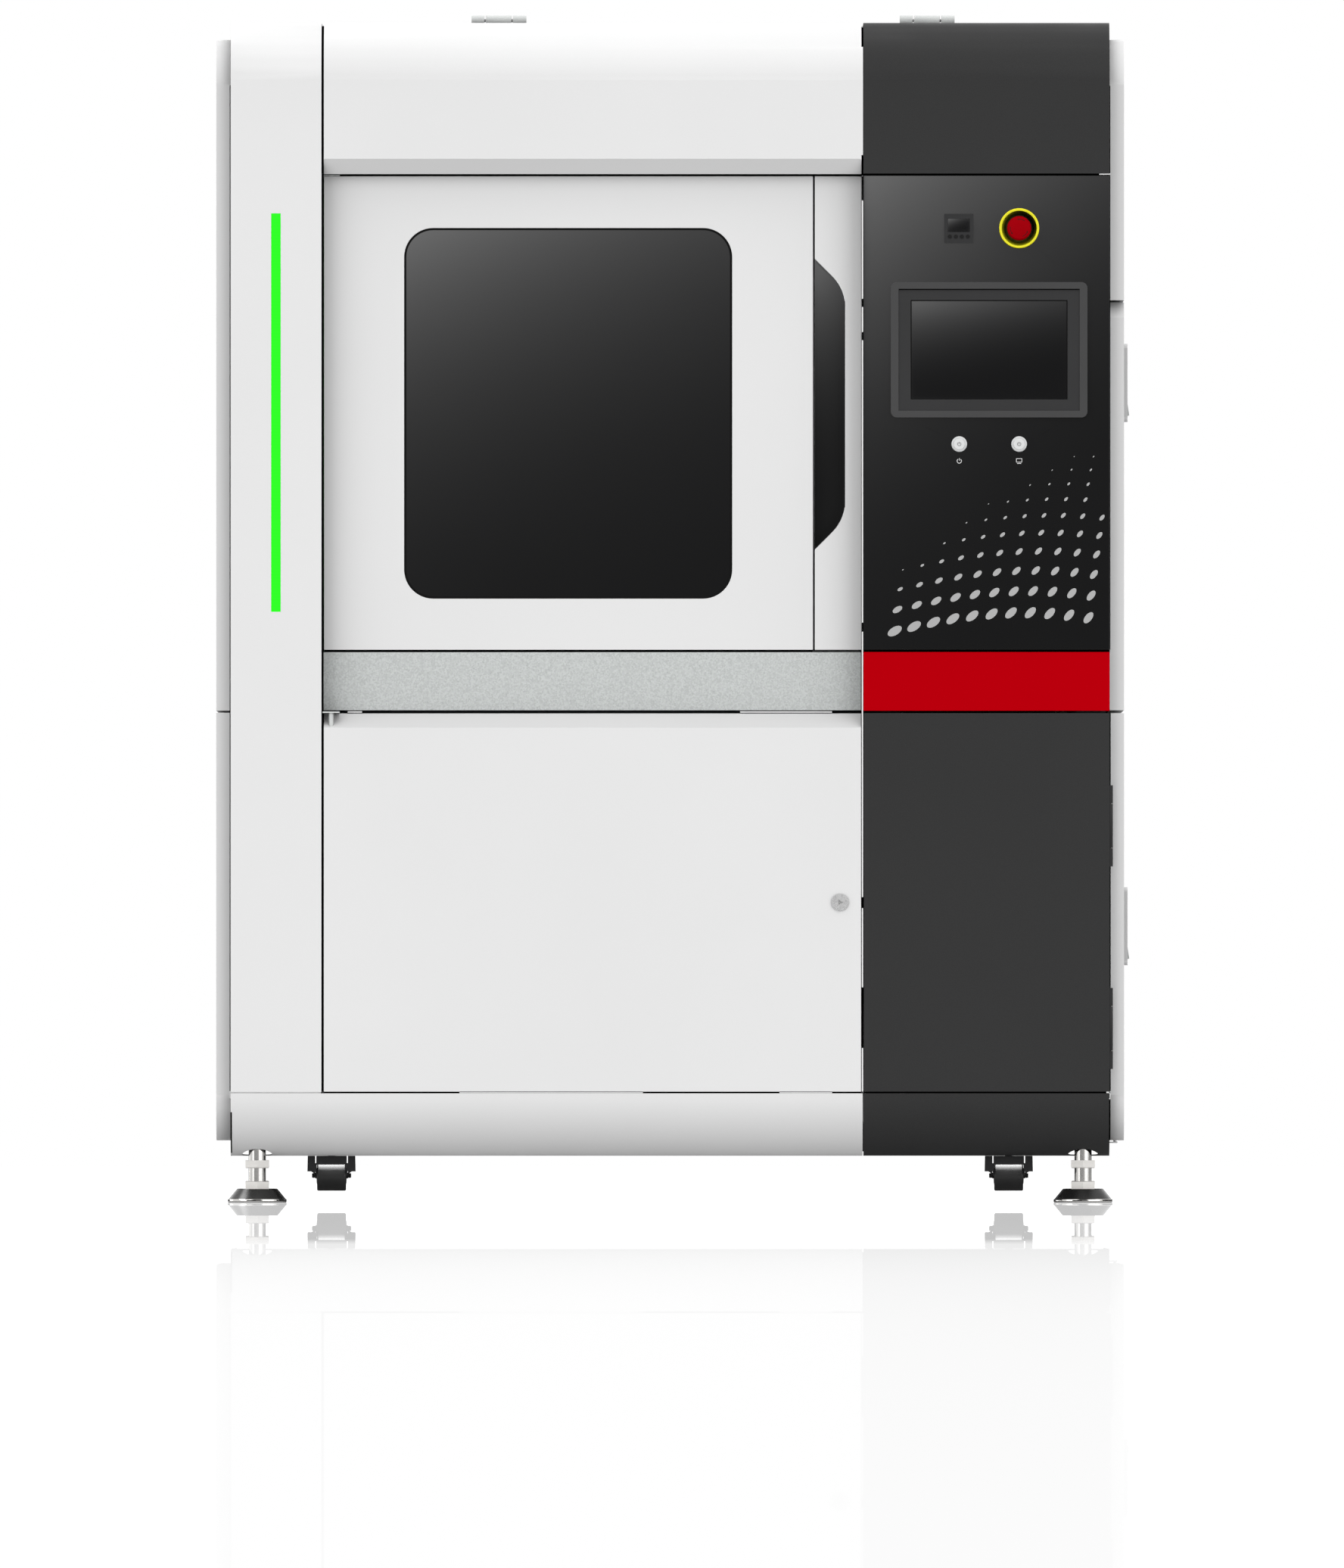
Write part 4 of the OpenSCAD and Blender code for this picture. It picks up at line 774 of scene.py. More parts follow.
k = Kit()  # light buffer strips that show in the seams
k.box((-725.5, FY + 0.9, 180.15), (-577.0, FY + 12, 181.9), 0.2)
k.box((-727.9, -628.0, 171.5), (-724.6, -612.0, 183.5), 0.3)
k.box((724.6, FY + 0.4, 170.5), (727.2, FY + 6, 183.2), 0.3)
k.box((720.6, FY + 0.4, 180.4), (727.2, FY + 6, 183.0), 0.3)
k.box((709.0, FY + 1.0, 1697.4), (727.0, FY + 8, 1699.6), 0.3)
for x0, x1 in ((-348, -45), (180.6, 267.5)):
    k.box((x0, FY + 0.6, 180.2), (x1, FY + 12, 182.0), 0.2)
for x0, x1 in ((-533, -509), (115.6, 267.5)):
    k.box((x0, PY - 1.0, 808.9), (x1, PY + 1.6, 811.4), 0.2)
k.done("seam_buffers", white, "cabinet", "white_paint")

# ------------------------------------------------------------------ operator panel
k = Kit()
cx, cz = 316.0, 913.0
DOT_Y = FY - 0.14


def dot(kit, x, z, a, b, tilt, n=28):
    pts = []
    ca, sa = math.cos(tilt), math.sin(tilt)
    for i in range(n):
        t = 2 * math.pi * i / n
        u, v = a * math.cos(t), b * math.sin(t)
        pts.append((x + u * ca - v * sa, max(z + u * sa + v * ca, 913.4)))
    kit.prism(pts, DOT_Y, FY - 0.02, "xz")


# halftone field: rows run in from the right edge, dots swell towards a line low on the panel
for r in range(13):
    for c in range(11):
        s = c / 10.0
        x = 371.0 + 32.0 * c + 4.5 * r
        z = 930.0 + 37.0 * r - 0.9 * r * r + 44.0 * math.sin(math.pi * (0.10 + 0.60 * s)) * (1.0 - 0.04 * r) + 2.0 * r * s
        size = 13.0 * max(0.0, 1.0 - r / (3.6 + 8.6 * s)) ** 1.2 * (1.0 - 0.16 * s)
        if size < 0.9 or x > 717.0:
            continue
        if abs(x - 576.5) < 24 and abs(z - 1225) < 34 or abs(x - 477.6) < 24 and abs(z - 1225) < 34 or z > 1292:
            continue
        dot(k, x, z, size, size * 0.52, math.radians(31.0 + 20.0 * s))
k.done("panel_halftone", print_grey, "cabinet", "white_paint", 30)

k = Kit()  # pictogram under the left button: plug


def stroke(kit, pts, w, y0=DOT_Y, y1=FY - 0.02):
    """Flat line of even width along points in X-Z."""
    pts = [Vector((p[0], p[1])) for p in pts]
    L, R = [], []
    for i, p in enumerate(pts):
        d = (pts[min(i + 1, len(pts) - 1)] - pts[max(i - 1, 0)]).normalized()
        nrm = Vector((-d.y, d.x)) * (w / 2)
        L.append((p.x + nrm.x, p.y + nrm.y))
        R.append((p.x - nrm.x, p.y - nrm.y))
    kit.prism(L + R[::-1], y0, y1, "xz")


def arc(cx, cz, r, a0, a1, n=20):
    return [(cx + r * math.cos(math.radians(a0 + (a1 - a0) * i / n)), cz + r * math.sin(math.radians(a0 + (a1 - a0) * i / n))) for i in range(n + 1)]


px_, pz_ = 477.6, 1224.5
stroke(k, arc(px_, pz_, 3.6, 125, 415, 28), 1.0)
stroke(k, [(px_, pz_ + 0.6), (px_, pz_ + 4.6)], 1.0)
px_ = 576.5
k.band([(px_ - 5, pz_ - 2.2), (px_ + 5, pz_ - 2.2), (px_ + 5, pz_ + 4.4), (px_ - 5, pz_ + 4.4)],
       [(px_ - 4.1, pz_ - 1.3), (px_ + 4.1, pz_ - 1.3), (px_ + 4.1, pz_ + 3.5), (px_ - 4.1, pz_ + 3.5)], DOT_Y, FY - 0.02)
stroke(k, [(px_ - 3.2, pz_ - 4.0), (px_ + 3.2, pz_ - 4.0)], 1.0)
k.done("panel_pictograms", print_white, "cabinet", "white_paint", 30)

for name, bx in (("power_button", 477.6), ("computer_button", 576.5)):
    k = Kit()
    yb = FY - 4.4
    stroke(k, arc(bx, 1252.5, 2.9, 118, 422, 30), 0.7, yb - 0.12, yb + 0.3)
    stroke(k, [(bx, 1252.9), (bx, 1256.2)], 0.7, yb - 0.12, yb + 0.3)
    k.done(name + "_icon", icon_dark, name, "dark_plastic", 30)

k = Kit()  # arrows of the turn-to-release head
ex, ez = 576.5, 1608.8


def head_y(r):
    pts = [(0, 28.8), (9, 28.4), (17.5, 27.0), (20, 24)]
    for (r0, h0), (r1, h1) in zip(pts, pts[1:]):
        if r <= r1:
            return FY - (h0 + (h1 - h0) * (r - r0) / (r1 - r0))
    return FY - 24


for a0 in (52, 172, 292):
    n = 16
    for i in range(n):
        a, b = (math.radians(a0 + 40.0 * j / n) for j in (i, i + 1))
        for r0, r1 in ((14.3, 15.3),):
            v = []
            for off in (0.10, -0.3):
                for ang, r in ((a, r0), (b, r0), (b, r1), (a, r1)):
                    v.append((ex + r * math.cos(ang), head_y(r) - off, ez + r * math.sin(ang)))
            k.add(v, [(0, 1, 2, 3), (7, 6, 5, 4), (0, 4, 5, 1), (1, 5, 6, 2), (2, 6, 7, 3), (3, 7, 4, 0)])
    a = math.radians(a0 + 40)
    v = []
    for off in (0.10, -0.3):
        for ang, r in ((a, 13.2), (a + 0.20, 14.8), (a, 16.4)):
            v.append((ex + r * math.cos(ang), head_y(r) - off, ez + r * math.sin(ang)))
    k.add(v, [(0, 1, 2), (5, 4, 3), (0, 3, 4, 1), (1, 4, 5, 2), (2, 5, 3, 0)])
k.done("estop_arrows", red_mark, "estop", "red_plastic", 30)

k = Kit()  # rounded bright rim of the guard
k.lathe([(29.6, 21.6), (29.6, 23.4), (30.3, 24.4), (31.3, 24.6), (32.3, 24.2), (33.0, 23.2), (33.1, 21.4), (32.0, 20.4), (30.4, 20.4)],
        (ex, FY, ez), "y", 72, -1)
k.done("estop_rim", yellow, "cabinet", "yellow_plastic", 60)

k = Kit()  # black strip of painted shadow at the top of the screen frame's inner step
k.box((526.9 - 149.0, FY - 5.4, 1408.2 + 99.2), (526.9 + 149.0, FY - 4.6, 1408.2 + 100.3))
k.done("screen_step_painted_shade", painted_shade_black, "cabinet", "dark_plastic", 30)

k = Kit()  # controller display glass
tx, tz = 476.8, 1608.6
k.prism(rr(tx - 17.9, tz - 5.7, tx + 17.9, tz + 16.1, 0.6, 3), FY - 2.75, FY - 2.25, "xz")
k.done("controller_glass", screen_black, "cabinet", "screen_glass", 30)

k = Kit()  # thin inner frame round the screen
k.band(rr(526.9 - 129.4, 1408.2 - 81.9, 526.9 + 129.4, 1408.2 + 81.9, 0.5, 2), rr(526.9 - 127.9, 1408.2 - 80.9, 526.9 + 127.9, 1408.2 + 80.4, 0.5, 2), FY - 2.35, FY - 1.95)
k.done("screen_gasket", rubber, "cabinet", "dark_plastic", 30)

# ------------------------------------------------------------------ pull recess: light edge on its lower right curve is the jamb's own rim

# ------------------------------------------------------------------ screws
def hex_screw(kit, x, y, z, d=8.0, h=2.0, axis="y", sign=1):
    """Low round head with a hexagon socket."""
    r = d / 2
    out = [(r * math.cos(math.radians(a * 15)), r * math.sin(math.radians(a * 15))) for a in range(24)]
    hexa = [(r * 0.5 * math.cos(math.radians((a // 4) * 60)) + 0.0, r * 0.5 * math.sin(math.radians((a // 4) * 60))) for a in range(24)]
    hexa = []
    for a in range(24):
        s, t = divmod(a, 4)
        p0 = Vector((math.cos(math.radians(s * 60)), math.sin(math.radians(s * 60))))
        p1 = Vector((math.cos(math.radians(s * 60 + 60)), math.sin(math.radians(s * 60 + 60))))
        v = p0.lerp(p1, t / 4.0) * r * 0.5
        hexa.append((v.x, v.y))
    rings = [(out, 0.0, 1.0), (out, 0.7, 1.0), (out, 1.0, 0.86), (hexa, 1.0, 1.0), (hexa, 0.35, 1.0)]
    verts = []
    for pts, hh, sc in rings:
        for u, v in pts:
            w = hh * h * sign
            if axis == "y":
                verts.append((x + u * sc, y + w, z + v * sc))
            elif axis == "x":
                verts.append((x + w, y + u * sc, z + v * sc))
            else:
                verts.append((x + u * sc, y + v * sc, z + w))
    n = 24
    faces = []
    for i in range(len(rings) - 1):
        for a in range(n):
            b = (a + 1) % n
            faces.append((i * n + a, i * n + b, (i + 1) * n + b, (i + 1) * n + a))
    faces.append(tuple(range(n)))
    faces.append(tuple(range((len(rings) - 1) * n, len(rings) * n)))
    kit.add(verts, faces)


k = Kit()
m = Kit()
for x in (-283.8, 426.3):
    for dx_ in (-33, -11, 11, 33):
        hex_screw(k, x + dx_, YH + 28, TOP + 3.1, 8, 1.6, "z")
        hex_screw(m, x + dx_, YH - 28, TOP + 3.1, 8, 1.6, "z")
for x in (-283.8, 426.3):
    for a, b in ((-24.45, -23.9), (-22.3, -20.6), (20.6, 21.0), (22.6, 23.45)):
        k.cyl((x + a, YH, TOP + 9.2), 17.2, b - a, "x", 32, 0.0, 5.2)
k.done("hinge_screws_fixed", screw_steel, "cabinet", "hinge_metal")
m.done("hinge_screws_moving", screw_steel, "hood", "hinge_metal")

k = Kit()  # rear and top cover screws
for z0, z1 in ((98, 795), (826, 1684)):
    for x in (-712, -475, -238, 0, 238, 475, 708):
        for z in (z0, z1):
            hex_screw(k, x, RY - 0.1, z, 9, 2.4, "y")
    for f in (0.33, 0.67):
        for x in (-712, 708):
            hex_screw(k, x, RY - 0.1, z0 + (z1 - z0) * f, 9, 2.4, "y")
for x in (-700, -350, 0, 350, 696):
    for y in (YH + 22, 150, 530):
        if abs(x + 283.8) < 60 or abs(x - 426.3) < 60:
            continue
        hex_screw(k, x, y, TOP - 0.1, 9, 2.2, "z")
k.done("cover_screws", screw_steel, "cabinet", "bright_metal")


def quarter_turn(kit, side, y, z):
    """Quarter-turn fastener with a slot, flush on a side cover."""
    x = side * (HW + 24.0)
    kit.lathe([(0.02, -0.5), (7.2, -0.5), (7.2, -0.1), (9.4, -0.1), (10.4, -0.6), (10.4, -1.8), (0.02, -1.8)], (x, y, z), "x", 32, side)
    lo, hi = sorted((x - side * 0.55, x + side * 0.0))
    kit.box((lo, y - 6.2, z - 1.0), (hi, y + 6.2, z + 1.0), 0.2)


k = Kit()
for y in (-560, -190, 190, 560):
    for z in (145, 770, 850, 1880):
        quarter_turn(k, -1, y, z)
for z in (1178, 1530):
    for y in (-560, 560):
        quarter_turn(k, -1, y, z) if z == 1530 else None
for y in (-560, -190, 190, 560):
    for z in (1525, 1880):
        quarter_turn(k, 1, y, z)
k.done("cover_fasteners", lock_steel, "cabinet", "bright_metal")

# ------------------------------------------------------------------ castors and feet
for i, (sx, sy) in enumerate(((-1, -1), (1, -1), (-1, 1), (1, 1)), 1):
    X, Y = sx * (565.8 if sy > 0 else 560.0), sy * 520.0
    k = Kit()
    for s in (-1, 1):
        # axle nut and washer
        x0 = X + s * 29.8
        k.lathe([(2.6, 0), (4.4, 0), (4.4, 0.5), (2.6, 0.5)], (x0, Y + 22, 44), "x", 32, s)
        pts = [(3.9 * math.cos(math.radians(a)), 3.9 * math.sin(math.radians(a))) for a in range(0, 360, 60)]
        lo, hi = sorted((x0 + s * 0.5, x0 + s * 2.6))
        k.prism([(Y + 22 + u, 44 + v) for u, v in pts], lo, hi, "yz")
    k.done(f"castor_axle_nuts_{i}", black_oxide, f"castor_{i}", "castor_steel")
    k = Kit()
    for s in (-1, 1):
        k.lathe([(4.7, 0.0), (12.5, 0.0), (13.2, 0.4), (12.5, 0.8), (4.7, 1.2)], (X + s * 23.8, Y + 22, 44), "x", 40, s)
    k.done(f"castor_hub_{i}", black_plastic, f"wheel_{i}", "tread")
    FX, FYY = sx * (690.2 if sy > 0 else 682.5), sy * 568.5
    k = Kit()  # washer faces on the nuts and the pad's bright rim
    k.lathe([(14.5, 34.05), (18.6, 34.05), (19.0, 34.5), (18.6, 34.95), (14.5, 34.95)], (FX, FYY, 0), "z", 48)
    k.lathe([(14.5, 56.6), (18.6, 56.6), (19.0, 57.0), (18.6, 57.4), (14.5, 57.4)], (FX, FYY, 0), "z", 48)
    k.done(f"foot_washers_{i}", nut_steel, f"foot_{i}", "foot_metal")
    k = Kit()
    k.lathe([(46.6, 0.5), (48.2, 0.5), (48.7, 1.0), (48.8, 2.7), (48.6, 4.7), (48.1, 5.2), (46.6, 5.2)], (FX, FYY, 0), "z", 96)
    k.done(f"foot_rim_{i}", chrome, f"foot_{i}", "foot_metal")

# ------------------------------------------------------------------ inside the cabinet
wire_black = plastic("wire_black", (0.012, 0.012, 0.012), 0.5, spec=0.3)
wire_grey = plastic("wire_grey", (0.30, 0.31, 0.32), 0.5, spec=0.3)
wire_blue = plastic("wire_blue", (0.01, 0.05, 0.30), 0.45, spec=0.3)
wire_red = plastic("wire_red", (0.40, 0.01, 0.01), 0.45, spec=0.3)
terminal_green = plastic("terminal_green", (0.02, 0.22, 0.08), 0.45, spec=0.4)
diffuser = plastic("diffuser_white", (0.78, 0.80, 0.80), 0.35, spec=0.4)
foam = plastic("foam_grey", (0.10, 0.10, 0.105), 0.9, spec=0.1, grain=0.4, scale=260.0)

k = Kit()  # computer: vents, ribs and ports; supplies: vent bars
for i in range(14):
    k.box((424 + i * 14.6, 38.8, 300), (432 + i * 14.6, 40.1, 404), 0.4)
for i, w in enumerate((16, 16, 12, 12, 30, 22, 14)):
    k.box((420 + i * 32, 37.2, 234), (420 + i * 32 + w, 40.1, 248 + (i % 3) * 4), 0.5)
for z in (470, 590):
    for i in range(9):
        k.box((418 + i * 10.6, 58.8, z + 40), (424 + i * 10.6, 60.1, z + 92), 0.4)
for i in range(9):
    k.box((550 + i * 10.0, 68.8, 580), (556 + i * 10.0, 70.1, 680), 0.4)
for i in range(4):
    for j in range(7):
        k.box((412 + i * 60, 28.6, 800 + j * 15), (448 + i * 60, 30.1, 806 + j * 15), 0.4)
k.done("device_vents", wire_black, "cabinet", "dark_plastic", 30)

k = Kit()  # plug-on terminal strips
for i in range(4):
    x = 411 + i * 60
    k.box((x, 20, 768), (x + 42, 29.9, 786), 0.8)
    for j in range(6):
        k.cyl((x + 5 + j * 6.5, 18.9, 780), 4.2, 1.3, "y", 16, 0.3)
for z in (1140, 1270):
    for x in (420, 500, 580):
        k.box((x, 64, z), (x + 52, 75.9, z + 14), 0.8)
        k.box((x, 64, z + 68), (x + 52, 75.9, z + 82), 0.8)
for z in (474, 594):
    k.box((416, 50, z), (514, 59.9, z + 18), 0.8)
k.done("terminal_plugs", terminal_green, "cabinet", "electrics", 30)

k = Kit()  # heat sinks, chips and capacitors on the cards, breaker toggles
for z in (1130, 1260):
    for i in range(8):
        k.box((430 + i * 6, 58, z + 26), (432.4 + i * 6, 75.9, z + 62), 0.3)
    for x, w in ((500, 22), (536, 14), (560, 30), (604, 18)):
        k.box((x, 72.6, z + 30), (x + w, 75.9, z + 30 + w), 0.4)
    for x in (498, 514, 612):
        k.cyl((x, 62, z + 22), 9, 14, "y", 20, 0.8)
for i in range(8):
    k.box((416 + i * 20, 50.5, 1026), (426 + i * 20, 55.9, 1040), 1.2)
    k.box((412.6 + i * 20, 54.4, 1010), (429.4 + i * 20, 55.9, 1056), 0.5)
k.done("card_parts", anodised, "cabinet", "electrics", 30)

k = Kit()  # duct covers with their finger slots
for z in (715, 955, 1095):
    k.box((405, 57.2, z - 1), (650, 59.9, z + 29), 0.6)
    for i in range(30):
        x = 408 + i * 8
        k.box((x, 62, z - 2.4), (x + 4.6, 112, z - 0.1), 0.3)
        k.box((x, 62, z + 28.1), (x + 4.6, 112, z + 30.4), 0.3)
k.done("duct_covers", duct_grey, "cabinet", "electrics", 30)

sets = {"black": Kit(), "grey": Kit(), "blue": Kit(), "red": Kit()}
names = ["black", "blue", "red", "grey", "black", "grey"]
for i in range(4):
    x = 411 + i * 60
    for j in range(6):
        a = x + 5 + j * 6.5
        pts = [(a, 21, 768), (a, 14, 760), (a + (j - 2) * 0.6, 26, 750), (a + (j - 2), 60, 744.5)]
        sets[names[j]].tube(smooth_line(pts, 4), 2.6, 8)
for j in range(8):
    for r, c in ((0, "black"), (1, "grey"), (2, "blue")):
        a = 415 + j * 20 + r * 5
        sets[c].tube(smooth_line([(a, 66, 990), (a, 60, 987), (a, 66, 983.5)], 4), 2.4, 8)
        sets[c].tube(smooth_line([(a, 66, 1074), (a, 60, 1084), (a, 66, 1094.5)], 4), 2.4, 8)
for j in range(7):
    a = 420 + j * 13
    for z, c in ((474, "black"), (594, "red")):
        sets[c].tube(smooth_line([(a, 51, z), (a, 44, z - 9), (a + 2, 60, z - 18), (a + 3, 108, z - 24)], 4), 2.8, 8)
for j in range(9):
    a = 424 + j * 18
    sets[names[j % 6]].tube(smooth_line([(a, 66, 1140), (a, 58, 1133), (a + 1, 62, 1124.5)], 4), 2.2, 8)
    sets[names[(j + 2) % 6]].tube(smooth_line([(a, 66, 1270), (a, 54, 1262), (a + 2, 60, 1240), (a + 6, 100, 1232)], 4), 2.2, 8)
for n_, kk in sets.items():
    kk.done(f"wires_{n_}", {"black": wire_black, "grey": wire_grey, "blue": wire_blue, "red": wire_red}[n_], "cabinet", "electrics", 60)

k = Kit()  # mounting screws of every device on the plate
for x, z in ((416, 228), (638, 228), (416, 412), (638, 412), (548, 478), (636, 478), (548, 682), (636, 682), (400, 190), (654, 190),
             (400, 1670), (654, 1670), (400, 700), (654, 700), (400, 1240), (654, 1240), (654, 960)):
    y = 40 if z < 440 and 410 < x < 645 else (70 if 530 < x < 650 and 470 < z < 690 else 120)
    hex_screw(k, x, y, z, 7, 2.0, "y", -1)
k.done("plate_screws", screw_steel, "cabinet", "bright_metal")

k = Kit()  # laser: fins, lid screws; scan head: galvo motors and connector
for i in range(26):
    x = XC - 400 + i * 20.5
    k.box((x, 156, 1742), (x + 5, 160.1, 1828), 0.5)
    k.box((x, 176, 1839.9), (x + 5, 274, 1845), 0.5)
for x in (XC - 40, XC + 40):
    k.cyl((x, -88, 1790), 44, 18.2, "y", 40, 2.0)
    k.cyl((x, -94, 1790), 20, 6.2, "y", 32, 1.0)
k.box((XC - 60, -50, 1833.9), (XC + 60, 50, 1838), 1.0)
k.done("laser_fins", anodised_grey, "cabinet", "optics_black", 40)

k = Kit()
for x in (XC - 52, XC + 52):
    for y in (-42, 42):
        hex_screw(k, x, y, 1837.9, 6, 1.8, "z")
for x in (XC - 412, XC + 150):
    for y in (172, 278):
        hex_screw(k, x, y, 1839.9, 7, 2.0, "z")
for x in (XC - 99, XC + 99):
    for y in (-60, 60):
        hex_screw(k, x, y, 1703.7, 7, 2.4, "z")
for x in (XC - 372, XC - 348, XC + 98, XC + 122):
    for y in (164, 286):
        k.cyl((x, y, 1694.1), 9, 5, "z", 6)
k.done("optics_screws", screw_steel, "cabinet", "bright_metal")

k = Kit()  # cables of the optics
k.tube(smooth_line([(XC, 70, 1815), (XC, 96, 1818), (XC + 30, 126, 1800), (XC + 60, 128, 1740), (XC + 90, 140, 1701), (XC + 260, 148, 1699.5), (380 - 12, 148, 1699.5)], 8), 9, 12)
k.tube(smooth_line([(XC - 420, 225, 1785), (XC - 446, 226, 1782), (XC - 462, 240, 1750), (XC - 464, 300, 1702), (XC - 440, 360, 1700), (XC + 100, 380, 1700), (366, 380, 1700)], 8), 12, 12)
k.tube(smooth_line([(XC - 420, 250, 1800), (XC - 440, 252, 1798), (XC - 456, 268, 1760), (XC - 458, 320, 1701), (XC - 430, 342, 1699), (XC + 100, 356, 1699), (366, 356, 1699)], 8), 8, 12)
k.cyl((XC, 70, 1815), 20, 10, "y", 24, 1.0)
k.cyl((XC - 432, 225, 1785), 26, 12.5, "x", 24, 1.0)
k.done("optics_cables", wire_black, "cabinet", "optics_black", 60)

k = Kit()  # lift motor over the screw, its flange and plug
k.box((XC - 43, 366, 1640.0), (XC + 43, 450, 1645.0), 1.0)
k.box((XC - 42, 367, 1645.2), (XC + 42, 449, 1686.0), 3.0)
k.box((XC - 14, 449, 1652), (XC + 14, 458, 1672), 1.2)
k.done("lift_motor", anodised, "cabinet", "optics_black", 30)

k = Kit()  # column: lid screws, end switches, reference scale and cable chain guide
for z in range(990, 1600, 75):
    for x in (XC - 141, XC + 141):
        hex_screw(k, x, 430.1, z, 8, 3.0, "y", -1)
for z in range(960, 1620, 60):
    for x in (XC - 110, XC + 110):
        k.cyl((x, 413.75, z), 7, 0.5, "y", 20)
for y in range(-400, 350, 60):
    for x in (XC - 420, XC + 420):
        k.cyl((x, y, STONE_TOP + 13.8), 6.5, 0.4, "z", 20)
k.done("rail_screws", screw_steel, "cabinet", "bright_metal")

k = Kit()
for z in (985, 1580):
    k.box((XC + 60, 410, z), (XC + 80, 429.8, z + 30), 1.0)
    k.box((XC + 66, 403, z + 10), (XC + 74, 410.2, z + 20), 0.6)
k.box((XC - 76, 424, 960), (XC - 62, 429.8, 1610), 0.6)
k.done("column_switches", black_plastic, "cabinet", "dark_plastic", 30)

k = Kit()  # light bars in both front corners of the chamber
k.box((-579.4, -478, 960), (-571.0, -462, 1600), 1.2)
k.box((319.0, -478, 960), (327.4, -462, 1600), 1.2)
k.done("chamber_light_mounts", anodised_grey, "cabinet", "optics_black", 30)
k = Kit()
for x0, x1 in ((-571.2, -566.5), (314.5, 319.2)):
    k.box((x0, -476, 966), (x1, -464, 1594), 1.5)
k.done("chamber_light_lenses", diffuser, "cabinet", "white_paint", 30)

k = Kit()  # vat rim, drain flange and plug
v = 350
for a, b in (((XC - v, -390, 905), (XC - v + 14, 400, 908.4)), ((XC + v - 14, -390, 905), (XC + v, 400, 908.4)),
             ((XC - v, -390, 905), (XC + v, -376, 908.4)), ((XC - v, 386, 905), (XC + v, 400, 908.4))):
    k.box(a, b, 0.8)
k.cyl((XC, -396, 430), 62, 6.2, "y", 48, 1.0)
for a in range(6):
    hex_screw(k, XC + 23 * math.cos(math.radians(a * 60)), -395.9, 430 + 23 * math.sin(math.radians(a * 60)), 6.5, 1.8, "y", -1)
k.cyl((XC, -399, 430), 22, 3.2, "y", 6, 0.6)
for x in (-210, 210):
    for z in (520, 700):
        k.box((XC + x - 60, -392.2, z), (XC + x + 60, -389.8, z + 60), 1.0)
k.done("vat_rim", stainless, "cabinet", "stainless", 35)

k = Kit()  # recoater: blade clamps, adjusting screws, suction hose fitting
ry_ = -350.0
k.box((XC - 330, ry_ - 7.6, 922), (XC + 330, ry_ - 6.1, 940), 0.4)
k.box((XC - 330, ry_ + 6.1, 922), (XC + 330, ry_ + 7.6, 940), 0.4)
for i in range(12):
    x = XC - 308 + i * 56
    for s in (-1, 1):
        k.lathe([(0.02, 0), (4, 0), (4, 4.4), (3.4, 5), (0.02, 5)], (x, ry_ + s * 7.5, 931), "y", 20, s)
for s in (-1, 1):
    k.cyl((XC + s * 405, ry_, 984.9), 24, 9, "z", 36, 1.0)
    k.cyl((XC + s * 405, ry_, 994.0), 14, 14, "z", 24, 1.2)
    k.cyl((XC + s * 405, ry_, 1008.1), 19, 9, "z", 36, 1.5)
    k.box((XC + s * 405 - 34, ry_ - 18, 984.9), (XC + s * 405 + 34, ry_ + 18, 988), 0.8)
k.cyl((XC, ry_, 984.9), 20, 16, "z", 30, 1.0)
k.cyl((XC, ry_, 1001.0), 13, 10, "z", 24, 0.8)
k.done("recoater_clamps", stainless, "recoater", "bright_metal", 35)

k = Kit()
for i in range(15):
    hex_screw(k, XC - 420 + i * 60, ry_ - 22, 963, 7, 2.0, "y", -1)
k.box((XC - 300, ry_ - 22.6, 970), (XC + 300, ry_ - 21.9, 978), 0.2)
k.done("recoater_screws", black_oxide, "recoater", "dark_plastic")

k = Kit()  # platform: clamp knobs, levelling screws
for s in (-1, 1):
    for y in (345.0,):
        k.box((XC + s * 250 - 13, 329.5, 1180), (XC + s * 250 + 13, 331.9, 1330), 0.6)
        for z in (1200, 1255, 1310):
            hex_screw(k, XC + s * 250, 329.6, z, 9, 3.0, "y", -1)
for x in (XC - 120, XC - 60, XC + 60, XC + 120):
    for z in (1355, 1385):
        hex_screw(k, x, 332.1, z, 9, 3.0, "y", -1)
    for z in (1420, 1500):
        hex_screw(k, x, 368.2, z, 9, 3.0, "y", -1)
for i in range(-5, 6, 2):
    hex_screw(k, XC + i * 52 + 26, -286, 902.9, 7, 1.6, "z")
    hex_screw(k, XC + i * 52 + 26, 286, 902.9, 7, 1.6, "z")
k.done("platform_screws", screw_steel, "platform", "bright_metal")

k = Kit()  # ribs inside the window door
for x0, x1 in ((-530, -500), (150, 180)):
    k.prism([(x0, PY + 2.0), (x0 + 6, PY + 13), (x1 - 6, PY + 13), (x1, PY + 2.0)], 940, 1665, "xy")
for z0 in (945, 1640):
    k.box((-495, PY + 2.0, z0), (145, PY + 10, z0 + 22), 1.0)
for x in (-515, 165):
    for i in range(9):
        k.cyl((x, PY + 12.9, 980 + i * 80), 9, 1.4, "y", 20, 0.4)
k.done("window_door_ribs", white_in, "front_door", "liner_paint", 35)

k = Kit()  # ribs and edge foam inside the dark door and the side doors
for z in (240, 420, 600, 780):
    k.box((360, FY + 2.1, z), (680, FY + 11, z + 24), 1.0)
k.done("dark_door_ribs", frame_paint, "dark_door", "frame_paint", 35)

